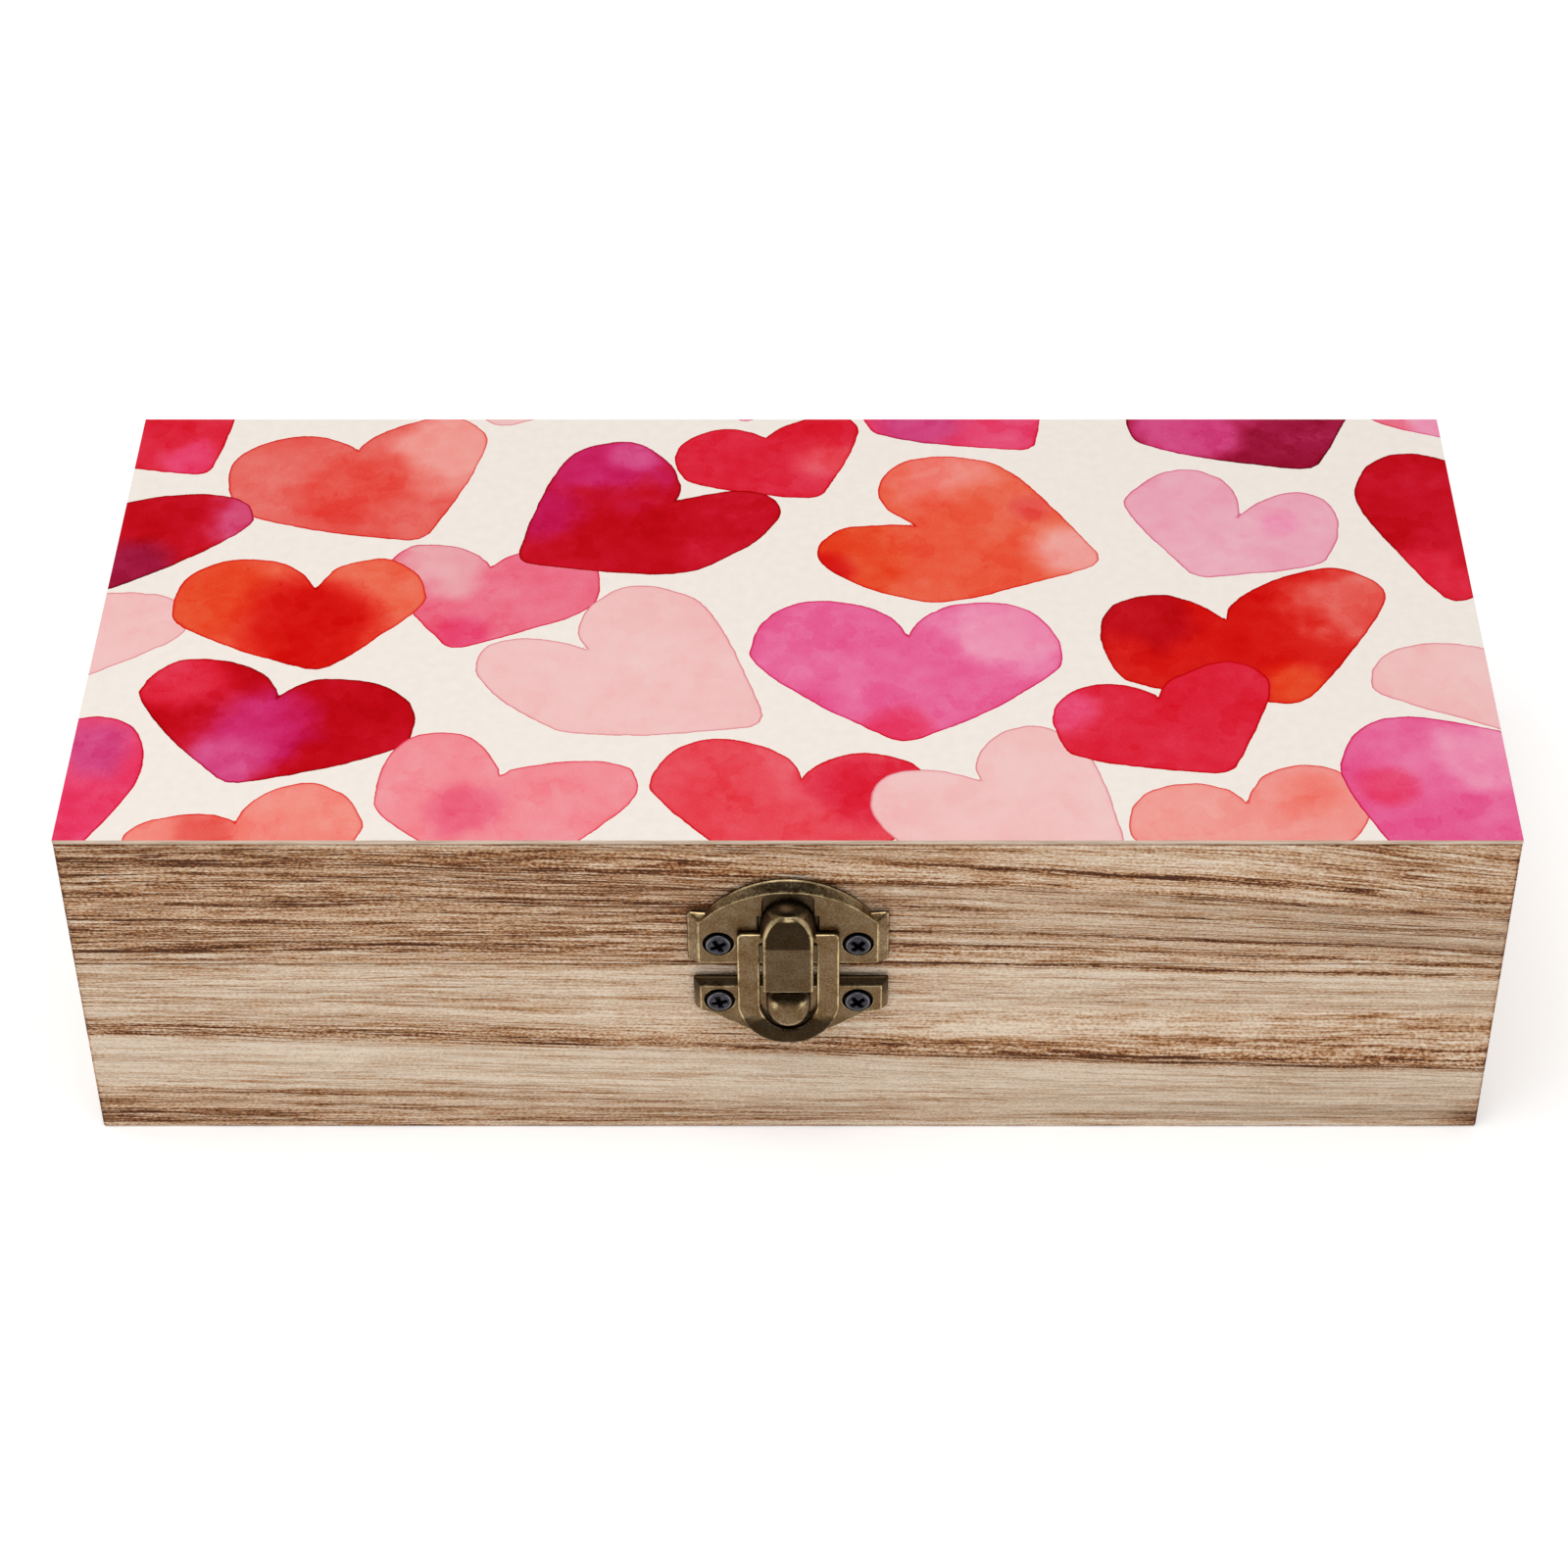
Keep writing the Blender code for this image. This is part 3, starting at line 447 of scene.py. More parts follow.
# Each heart, in mm on the lid: x and y of its notch and of its tip, width and rise above
# the notch of its left lobe and of its right lobe, its layer, since an upper heart covers a
# lower one, its main wash, and blots of other washes as (pigment, x, y, radius).
hearts = [
    (-101.2, 52, -88.5, 33.8, 15, 5, 14.4, 3, 1, "cherry", [("rose", -92, 37, 5)]),
    (-66.3, 40, -54.7, 17.4, 21.6, 8.4, 19, 3, 0, "coral",
     [("peach", -50, 40, 10), ("tomato", -66, 31, 8)]),
    (-42.8, 62, -44.5, 45.9, 16, 5, 16, 5, 0, "blush", []),
    (-6.5, 58, -7, 47.2, 9, 4, 9, 4, 0, "mauve", []),
    (-17.4, 27.4, -40.8, 12.7, 18.8, 4, 16.2, 12.8, 1, "crimson",
     [("magenta", -29, 37, 11), ("magenta", -38, 25, 7), ("fuchsia", -24, 39, 4)]),
    (-3.8, 43.2, 4.4, 28, 15.8, 5.8, 14, 1.6, 0, "cherry", [("strawberry", 6, 38, 5)]),
    (26.2, 58.2, 37.1, 40, 18.5, 5, 12, 4, 1, "rose", [("fuchsia", 19, 46, 6)]),
    (18.7, 21.3, 46.7, 12.7, 17.3, 12.4, 18.5, 8, 0, "orange",
     [("salmon", 23, 36, 9), ("peach", 42, 15, 6), ("flame", 8, 13, 9), ("scarlet", 5, 10, 4),
      ("tomato", 36, 26, 3)]),
    (70, 55.8, 79.6, 35, 21, 5, 18.5, 4, 0, "wine", [("fuchsia", 62, 45, 8)]),
    (100, 55.8, 105, 42, 12.5, 5, 12, 5, 1, "lilac", [("pink", 93, 47, 3)]),
    (67, 23, 60, 8.8, 17, 8.6, 15.5, 10.5, 0, "mauve", [("lilac", 73, 22, 3)]),
    (105, 30.8, 96.9, 2.4, 18.8, 5.6, 17.5, 5, 1, "crimson", [("cherry", 96, 8, 7)]),
    (-103.1, 24.5, -101.2, 5.1, 20, 6, 22.5, 3.4, 1, "crimson",
     [("raspberry", -81, 24, 6), ("wine", -97, 11, 6)]),
    (-69.4, 5.8, -67.2, -12.6, 21.1, 8.9, 15.9, 6.5, 1, "orange",
     [("flame", -84, 4, 8), ("scarlet", -70, -1, 9), ("scarlet", -68, -9, 5)]),
    (-44.1, 11.3, -48.9, -7.9, 15.1, 3.4, 17.4, 6.2, 0, "pink",
     [("dusty", -51, 13, 8), ("rose", -47, -4, 4)]),
    (-105, 2, -106.2, -16.8, 17, 5, 18, 4, 0, "blush", []),
    (-28.9, -7.6, -3.3, -24.4, 17, 12.5, 17.8, 5.5, 1, "blush", []),
    (17.2, -4.8, 16.1, -28.7, 22.8, 7.6, 22.1, 8.4, 0, "orchid",
     [("lilac", 32, -4, 9), ("rose", 15, -26, 5)]),
    (63.3, -0.9, 72.8, -20, 20, 10.5, 24.5, 4.8, 0, "scarlet",
     [("coral", 82, 3, 9), ("flame", 72, -16, 5), ("deepRed", 50, 1, 8)]),
    (52.4, -18.4, 61.1, -34.8, 17.2, 7, 16, 3.2, 2, "cherry", [("rose", 39, -21, 5)]),
    (103.1, -10.5, 105, -26.8, 20.6, 5.6, 18, 5, 0, "blush", []),
    (-72.5, -18.3, -77.8, -37, 19.4, 5.6, 21.2, 6.8, 0, "crimson",
     [("magenta", -74, -26, 8), ("fuchsia", -79, -34, 7), ("cherry", -87, -14, 7)]),
    (-107.5, -27.5, -104, -62, 17.5, 4, 17.5, 4, 1, "rose", [("fuchsia", -97, -29, 5)]),
    (-75.3, -45.1, -71.2, -64.2, 16.2, 3.8, 16.8, 6.5, 0, "salmon", [("coral", -80, -47, 4)]),
    (-39.7, -34.8, -37.5, -57, 17.5, 10, 18.8, 1.8, 1, "candy", [("pink", -44, -42, 5)]),
    (1.9, -35.8, -1.2, -56.8, 20.6, 6.9, 18.8, 6.9, 0, "strawberry", [("cherry", 11, -37, 8)]),
    (26.7, -36.1, 45.8, -50.9, 17.5, 11, 15.2, 3.9, 1, "blush", []),
    (63.1, -40.7, 66.2, -60, 17, 5.5, 16.5, 6.5, 0, "peach", [("salmon", 72, -39, 4)]),
    (105, -30, 96, -72, 27, 4, 22, 5, 1, "orchid", [("lilac", 98, -31, 8), ("rose", 83, -37, 4)]),
]


def bezier(a, b, c, d, count=14):
    t = np.linspace(0, 1, count, endpoint=False)[:, None]
    return a * (1 - t)**3 + 3 * b * t * (1 - t)**2 + 3 * c * t * t * (1 - t) + d * t**3


def heartOutline(length, left, right, seed):
    # Two sides, each three cubic curves: from the notch over the lobe's top, down to its
    # widest place, and nearly straight to the tip, which is blunted. A slow tremble makes
    # it hand-drawn.
    halves = []
    for sign, (width, rise) in ((1, right), (-1, left)):
        top = length + rise
        curve = np.concatenate([bezier(*np.array(four)) for four in (
            [(0, length), (0.07, length + 0.62 * rise), (0.25, top), (0.52, top)],
            [(0.52, top), (0.82, top), (1, length + 0.4 * rise), (1, 0.8 * length)],
            [(1, 0.8 * length), (0.98, 0.62 * length), (0.38, 0.22 * length), (0, 0)],
        )])
        halves.append(curve * (sign * width, 1))
    loop = np.concatenate([halves[0], [[0, 0]], halves[1][:0:-1]])
    blunt = (np.roll(loop, 1, 0) + np.roll(loop, -1, 0) + loop) / 3
    share = np.exp(-((loop ** 2).sum(1, keepdims=True) / 2.2**2))
    loop = loop * (1 - share) + blunt * share
    step = np.arange(len(loop))
    tremble = layeredNoise(step / 4, np.full(len(loop), seed * 1.7), 60 + seed) - 0.5
    edge = np.roll(loop, -1, 0) - np.roll(loop, 1, 0)
    normal = unit(np.stack([edge[:, 1], -edge[:, 0]], -1))
    return loop + normal * (0.7 * tremble)[:, None]


def distanceInside(points, loop):
    # Distance to a closed outline, above zero inside it: the least distance to its
    # straight pieces, and an even-odd count of the ones to the right of each point.
    nearest = np.full(len(points), 1e9)
    odd = np.zeros(len(points), bool)
    for a, b in zip(loop, np.roll(loop, -1, 0)):
        way = b - a
        if not way.any():
            continue
        share = np.clip(((points - a) @ way) / (way @ way), 0, 1)
        nearest = np.minimum(nearest, ((points - a - share[:, None] * way)**2).sum(1))
        crosses = (a[1] > points[:, 1]) != (b[1] > points[:, 1])
        if way[1]:
            x = a[0] + (points[:, 1] - a[1]) * way[0] / way[1]
            odd ^= crosses & (points[:, 0] < x)
    return np.sqrt(nearest) * np.where(odd, 1, -1)


def watercolour(points, layer):
    # For one layer of hearts: the distance inside the nearest heart's edge, and the colour
    # of its wash on white, as exp(-pigment * amount).
    distance = np.full(len(points), -9.0)
    wash = np.ones((len(points), 3))
    paper = np.array(linear(printLook["paper"])[:3])
    ink = {name: -np.log(np.clip(np.array(linear(tone)[:3]) / paper, 0.003, 0.99))
           for name, tone in pigments.items()}
    for number, (*shape, own, main, blots) in enumerate(hearts):
        if own != layer:
            continue
        notch, tip, left, right = np.array(shape).reshape(4, 2)
        length = np.hypot(*(notch - tip))
        up = (notch - tip) / length
        across = np.array([up[1], -up[0]])
        reach = length + max(left[0], right[0]) + 4
        near = np.flatnonzero(np.abs(points - (notch + tip) / 2).max(1) < reach)
        local = (points[near] - tip) @ np.stack([across, up], 1)
        inside = distanceInside(local, heartOutline(length, left, right, number))
        gx, gy = points[near].T
        drift = layeredNoise(gx / 6, gy / 6, 80 + number, 4) - 0.5
        paint = np.broadcast_to(ink[main], (len(near), 3))
        for k, (pigment, x, y, radius) in enumerate(blots):
            away = np.hypot(gx - x, gy - y) / radius + (1.1 - 0.5 * (k % 2)) * drift
            share = softStep(1.45, 0.55, away)[:, None]
            paint = paint * (1 - share) + ink[pigment] * share
        pool = layeredNoise(gx / 11, gy / 11, 140 + number, 3) - 0.5
        settle = layeredNoise(gx / 2.4, gy / 2.4, 200 + number, 3) - 0.5
        paint = paint * (1 + 0.55 * pool + 0.2 * settle)[:, None]
        closer = inside > distance[near]
        distance[near[closer]] = inside[closer]
        wash[near[closer]] = np.exp(-paint[closer])
    return distance, wash


def printedSheet():
    # Offset print on thin coated sheet: crisp hearts on warm white. Pigment gathers in a
    # thin dark rim, pools softly inside and grains finely, and the coat has a low gloss.
    material, add, shader = newMaterial("printedSheet", Roughness=0.5, Specular_IOR_Level=0.015)
    place = add("TexCoord").outputs["Object"]
    paper = linear(printLook["paper"])[:3]
    grains, clouds, blooms, mottling = (
        add("TexNoise", place, w, scale, detail, noise_dimensions="4D")
        for w, scale, detail in printLook["noises"])
    mottling = add("MapRange", mottling, 0.3, 0.7, 0.975, 1.02)
    colour = add("VectorMath SCALE", {0: paper, "Scale": mottling})

    # Blooms: a little darker inside, darkest along their edge.
    inner = add("MapRange", blooms, 0.555, 0.57, **smooth)
    edge = add("Math ABSOLUTE", add("Math SUBTRACT", blooms, 0.562))
    edge = add("MapRange", edge, 0.02, 0, **smooth)
    amount = printLook["wash"]
    for part, weight in ((inner, 0.1), (edge, 0.05), (clouds, 0.34), (grains, 0.3)):
        amount = add("Math MULTIPLY_ADD", part, weight, amount)

    for layer in range(3):
        far = add("Attribute", attribute_name=f"inside{layer}").outputs["Fac"]
        wash = add("Attribute", attribute_name=f"wash{layer}").outputs["Vector"]
        # A fine tremble of the edge, 0.08 mm.
        far = add("Math MULTIPLY_ADD", clouds, 0.55, far)
        far = add("Math MULTIPLY_ADD", grains, 0.1, far)
        cover = add("MapRange", far, 0.3, 0.35, **smooth)
        rim = add("MapRange", far, 0.34 + printLook["rimWidth"], 0.38, 0, printLook["rimDepth"],
                  **smooth)
        halo = add("MapRange", far, 1.2, 0.3, 0, 0.12, **smooth)
        full = add("Math ADD", add("Math ADD", amount, rim), halo)
        painted = add("VectorMath MULTIPLY", add("Gamma", wash, full), paper)
        grey = add("VectorMath MULTIPLY", painted, (0.78, 0.62, 0.7))
        painted = add("Mix", {0: add("Math MULTIPLY", rim, 0.75), 6: painted, 7: grey}, **rgba)
        colour = add("Mix", {0: cover, 6: colour, 7: painted}, **rgba)

    # The sheet's cut edge is bare board, streaked along its plies.
    plies = add("TexNoise", add("VectorMath MULTIPLY", place, (150, 150, 3000)), 0, 1, 2)
    board = setRamp(add("ValToRGB", plies), [(0.3, "#bda58c"), (0.6, "#e3cdb9")])
    bare = add("Attribute", attribute_name="bare").outputs["Fac"]
    colour = add("Mix", {0: bare, 6: colour, 7: board}, **rgba)
    bump = add("Bump", {"Height": grains, "Distance": 0.01 * mm, "Strength": 0.5})
    fill(shader, {"Base Color": colour, "Normal": bump})
    return material


def makePrint():
    low, high = corners("lid_print")
    cell = printLook["cell"]
    radii = np.full(3, printLook["edge"])
    points, faces = roundedBox(low, high, (cell, cell, 1), radii, radii, plain=[(2, 0)])
    fields = {"bare": softStep(high[2] - 0.02, high[2] - printLook["edge"], points[:, 2])}
    for layer in range(3):
        fields[f"inside{layer}"], fields[f"wash{layer}"] = watercolour(points[:, :2], layer)
    makePiece("printedTop", points, faces, (printedSheet(), "printed_sheet"), "lid",
              ["lid_print"], fields)
    print("print done,", len(faces), "faces")


makePrint()


# Antique bronze and blackened steel

metalLook = {
    "patina": [(0.36, "#5f4626"), (0.5, "#715a3f"), (0.64, "#827158")],
    # the near black that "dark" mixes in, mostly as painted shade
    "browningAndShade": "#140d06", "brass": "#dcc494",
    "noises": [(500, 3), (3600, 2), (7000, 1)],  # scale per metre, detail: 2, 0.3, 0.15 mm
    "oxide": [(0.35, "#2f2e33"), (0.65, "#4a484f")], "recess": "#050506", "rubbed": "#a3a0a6",
}


def antiqueBronze():
    # Brass plate on stamped steel, chemically browned and tumbled: olive-brown with a fine
    # sandy grain in the flats, rubbed back to brass along "edge", which also carries painted
    # highlights, and near black where "dark" gives it: browning, and mostly painted shade.
    material, add, shader = newMaterial("antiqueBronze", Metallic=1.0)
    place = add("TexCoord").outputs["Object"]
    blotch, grain, grit = (add("TexNoise", place, 0, *two) for two in metalLook["noises"])
    mixed = add("Math MULTIPLY_ADD", blotch, 0.4, add("Math MULTIPLY_ADD", grain, 0.6, 0))
    patina = setRamp(add("ValToRGB", mixed), metalLook["patina"])
    dark = add("Attribute", attribute_name="dark").outputs["Fac"]
    patina = add("Mix", {0: add("Math MULTIPLY", dark, 0.82), 6: patina,
                         7: linear(metalLook["browningAndShade"])}, **rgba)
    edge = add("Attribute", attribute_name="edge").outputs["Fac"]
    uneven = add("Math MULTIPLY_ADD", blotch, 2.2, -0.25)
    wearAndHighlight = add("Math MULTIPLY_ADD", edge, uneven, add("Math MULTIPLY_ADD", grain, 0.6, -0.3))
    wearAndHighlight = add("MapRange", wearAndHighlight, 0.1, 1, 0, 0.9, **smooth)
    colour = add("Mix", {0: wearAndHighlight, 6: patina, 7: linear(metalLook["brass"])}, **rgba)
    fill(shader, {
        "Base Color": colour, "Roughness": add("MapRange", mixed, 0.35, 0.65, 0.26, 0.42),
        "Normal": add("Bump", {"Height": grit, "Distance": 0.01 * mm, "Strength": 0.5})})
    return material


def blackSteel():
    # Case-hardened steel with a blue-black oxide: dark, with small soft highlights.
    material, add, shader = newMaterial("blackenedSteel", Metallic=1.0, Roughness=0.36)
    grit = add("TexNoise", add("TexCoord").outputs["Object"], 0, 3000, 2)
    dark = add("Attribute", attribute_name="dark").outputs["Fac"]
    edge = add("Attribute", attribute_name="edge").outputs["Fac"]
    tone = setRamp(add("ValToRGB", grit), metalLook["oxide"])
    tone = add("Mix", {0: add("Math MULTIPLY", edge, 0.55), 6: tone,
                       7: linear(metalLook["rubbed"])}, **rgba)
    # "dark" paints shade: the screws' cross recesses go near black.
    tone = add("Mix", {0: dark, 6: tone, 7: linear(metalLook["recess"])}, **rgba)
    bump = add("Bump", {"Height": grit, "Distance": 0.02 * mm, "Strength": 0.4})
    fill(shader, {"Base Color": tone, "Normal": bump})
    return material


bronze = antiqueBronze(), "antique_bronze"
steel = blackSteel(), "black_steel"
for node in ("hinge_left_pin", "hinge_right_pin"):
    # The pins are shown as the CAD model has them.
    frame["nodes"][node].data.materials.clear()
    frame["nodes"][node].data.materials.append(steel[0])


# The latch: stamped plates, hook, nose, ring and screws


def outward(x, z, out):
    # Points from x, z and the distance in front of the wood, all in mm.
    return np.stack(np.broadcast_arrays(x, frontFace - np.asarray(out), z), -1)


def bands(start, rows, columns):
    # Faces between neighbouring closed rows of points, the first point having number start.
    index = start + np.arange(rows * columns).reshape(rows, columns)
    on = np.roll(index, -1, 1)
    return np.stack([index[:-1], on[:-1], on[1:], index[1:]], -1).reshape(-1, 4).tolist()


def capped(grid):
    # Points and faces of a stack of closed rows with its first and last row filled.
    rows, columns = grid.shape[:2]
    faces = bands(0, rows, columns)
    faces += [list(range(columns)), list(range((rows - 1) * columns, rows * columns))]
    return grid.reshape(-1, 3), faces


def insetCorners(loop, runs):
    # Each edge of an outline, anticlockwise, moves inward by its own run, a number or a
    # function of its normal. A corner goes to where its two moved edges cross, or straight
    # inward where they are nearly in line.
    way = unit(np.roll(loop, -1, 0) - loop)
    after = np.stack([-way[:, 1], way[:, 0]], -1)
    before = np.roll(after, 1, 0)
    run = (runs(after) if callable(runs) else np.full(len(loop), runs))[:, None]
    earlier = np.roll(run, 1, 0)
    cross = (before[:, 0] * after[:, 1] - before[:, 1] * after[:, 0])[:, None]
    near = np.abs(cross) < 0.08
    crossing = np.concatenate([earlier * after[:, 1:] - run * before[:, 1:],
                               run * before[:, :1] - earlier * after[:, :1]], 1)
    level = (before + after) / 2 * (earlier + run) / 2
    return loop + np.where(near, level, crossing / np.where(near, 1, cross))


def roundCorners(loop, radii, steps=5):
    # A corner with a radius becomes a quadratic curve that leaves its two edges that far
    # from the corner.
    back, on = unit(np.roll(loop, 1, 0) - loop), unit(np.roll(loop, -1, 0) - loop)
    start = (loop + back * radii[:, None])[:, None]
    end = (loop + on * radii[:, None])[:, None]
    t = np.linspace(0, 1, steps)[None, :, None]
    curve = start * (1 - t)**2 + 2 * loop[:, None] * t * (1 - t) + end * t * t
    keep = np.ones((len(loop), steps), bool)
    keep[radii == 0, 1:] = False
    return curve[keep]


plateLook = {
    "bed": 0.3,  # back of the plate in front of the wood, mm
    "face": 1.7,
    "rim": [  # share of the slope, extra run, share of the height, wear, dark
        # the dark of the three lowest rows is a painted shadow line round the plate's foot
        (0, 0.1, 0, 0, 0.9), (0, 0, 0.07, 0, 0.9), (0, 0, 0.2, 0.1, 0.8),
        (0.08, 0, 0.33, 0.75, 0), (0.2, 0, 0.43, 0.3, 0), (0.8, 0, 0.89, 0.2, 0),
        (0.93, 0, 0.985, 0.5, 0), (1, 0, 1.03, 0.85, 0), (1, 0.09, 1.02, 0.4, 0),
        (1, 0.2, 1, 0, 0),
    ],
    "sinking": [  # radius, out, wear, dark: the round sinking round a screw
        # the dark of the lower rows is painted shade down in the sinking
        (2.34, 1.7, 0, 0), (2.28, 1.7, 0.3, 0), (2.21, 1.66, 0.7, 0),
        (2.14, 1.56, 0.2, 0.5), (2.1, 1, 0, 1), (1.98, 0.82, 0, 1),
    ],
    "slopeRuns": (1.0, 1.0, 0.4),  # of the tray's plate at its top, sides and foot, mm
    "opening": [  # growth of the window behind the hook, out, wear, dark
        # the dark is painted shade: a dark shallow floor stands for the shadowed hole
        (0.24, 1.7, 0, 0.2), (0.12, 1.7, 0, 0.4), (0.03, 1.66, 0.2, 0.6),
        (0, 1.55, 0, 0.9), (-0.05, 1.3, 0, 0.85),
    ],
    "screwX": 9.7,
    # corners as (x, z, radius), on the lid's plate without its arch
    "ears": [(-14, 34.8, 0.5), (14, 34.8, 0.5), (14, 44, 0.6), (-14, 44, 0.6)],
    "earCrests": [(-12.4, 35.2, 0.2), (12.4, 35.2, 0.2), (12.4, 42.75, 0.1), (-12.4, 42.75, 0.1)],
    "arch": (11.45, 43.75, 50.0), "archCrest": (12.0, 43.1, 48.5),  # half width, foot, top
    "window": [(-4.2, 38.6, 0.3), (4.2, 38.6, 0.3), (4.2, 44, 0.2), (3.5, 44, 0), (3.5, 47.9, 1.2),
               (-3.5, 47.9, 1.2), (-3.5, 44, 0), (-4.2, 44, 0.2)],
    "right": [(4, 20.6, 0.6), (11.2, 25.1, 0.7), (14, 25.8, 0.5), (14, 31.5, 0.35)],
    "leftEnd": 13.3,  # of the tray's plate, cut a little short
    "lidScrewZ": 38.7, "trayScrewZ": 27.7,
}


def stampedPlate(name, outline, crest, screwZ, window, body, replaced):
    # Rows from the back up the wall and the slope to the crest and the flat face, with a
    # sinking for each screw and, on the lid, the window behind the hook, whose shallow floor
    # is painted dark as shade. Outline and crest are corners (x, z, radius), and a row on the
    # slope lies between them by its share. Flat faces are triangles between the rows.
    bed, face = plateLook["bed"], plateLook["face"]

    def row(shape, run):
        return roundCorners(insetCorners(shape[:, :2], run), shape[:, 2])

    angle = np.linspace(0, 2 * math.pi, 48, endpoint=False)
    circle = np.stack([np.cos(angle), np.sin(angle)], -1)
    stacks = [[(row(outline * (1 - share) + crest * share, extra), bed + (face - bed) * height,
                wear, dark) for share, extra, height, wear, dark in plateLook["rim"]]]
    for x in (-plateLook["screwX"], plateLook["screwX"]):
        stacks.append([((x, screwZ) + radius * circle, *rest)
                       for radius, *rest in plateLook["sinking"]])
    if window is not None:
        stacks.append([(row(window, -grow), *rest) for grow, *rest in plateLook["opening"]])
    points, faces, edge, dark, ends = [], [], [], [], []
    for stack in stacks:
        count, first = len(stack[0][0]), sum(map(len, points))
        faces += bands(first, len(stack), count)
        ends.append([first + np.arange(count), first + (len(stack) - 1) * count + np.arange(count)])
        for loop, out, wear, shade in stack:
            points.append(outward(*loop.T, out))
            edge += [wear] * count
            dark += [shade] * count
    points, edge = np.concatenate(points), np.array(edge)
    # Painted shade: darker round the hook, on the arch's crown, behind the hook and ring on
    # both plates, and on the tray plate's upward-facing top slope, for its dark reflection.
    x, out, z = np.abs(points[:, 0]), frontFace - points[:, 1], points[:, 2]
    dark = np.maximum.reduce([
        dark, 0.45 * np.exp(-((x / 5.5) ** 2 + ((z - 45) / 3) ** 2)),
        0.45 * softStep(7.5, 2.0, x) * softStep(48.2, 48.8, z),
        0.6 * softStep(4.9, 4.2, x) * (z < 44)])
    upper = (z > 30.45) & (z < 32) & (out < face - 0.1)
    dark[upper] = 0.93
    edge[upper] = 0
    flat = [ends[0][1]] + [end[0] for end in ends[1:]]
    number = np.concatenate(flat)
    drawn = [[Vector(place) for place in points[loop][:, [0, 2]]] for loop in flat]
    faces += number[np.array(tessellate_polygon(drawn))].tolist()
    faces += [ends[0][0].tolist()] + [end[1].tolist() for end in ends[1:]]
    makePiece(name, points, faces, bronze, body, replaced, {"edge": edge, "dark": dark}, 60)


def makePlates():
    # The lid's plate has two ears and an arch between them, with a flatter arch as its
    # crest. The tray's plate has a short step in and two slopes down to a foot.
    def arched(ears, start, base, peak):
        radius = (start**2 + (peak - base) ** 2) / (2 * (peak - base))
        turn = np.linspace(math.acos(start / radius), math.pi - math.acos(start / radius), 41)
        arch = np.stack([radius * np.cos(turn), peak - radius + radius * np.sin(turn), 0 * turn], -1)
        return np.array([*ears[:3], *arch, ears[3]])

    outline = arched(plateLook["ears"], *plateLook["arch"])
    crest = arched(plateLook["earCrests"], *plateLook["archCrest"])
    stampedPlate("lidPlate", outline, crest, plateLook["lidScrewZ"],
                 np.array(plateLook["window"]), "lid", ["latch_plate"])

    right, end = plateLook["right"], plateLook["leftEnd"]
    outline = np.array(right + [(-min(x, end), z, r) for x, z, r in reversed(right)])
    crest = outline * (1, 1, 0.4)

    def runs(normals):
        # Run of the slope: the more an edge stands upright, the more it has the sides' run.
        top, sides, foot = plateLook["slopeRuns"]
        upright = normals[:, 0] ** 4
        return sides * upright + np.where(normals[:, 1] < 0, top, foot) * (1 - upright)

    crest[:, :2] = insetCorners(outline[:, :2], runs)
    stampedPlate("trayPlate", outline, crest, plateLook["trayScrewZ"], None, "tray",
                 ["catch_plate"])


hookLook = {
    "bottom": 32.3, "half": 3.4,  # lower end and half width of the tongue, mm
    "front": 4.77, "back": 3.97,  # its two faces in front of the wood
    "crease": 40.5, "spring": 41.3, "peak": 45.3,  # fold, start and top of the pointed arch
    "lean": 1.3,  # how far the peak lies behind the tongue's face
    "hollow": 1.55,  # radius of the hollow in its back, where the ring's bar turns
    "join": 42.0,  # above it the tongue's back drops away to the hood
    "foot": 3.85, "footTop": 46.75, "footOut": 1.02,  # where the hood meets the plate
}


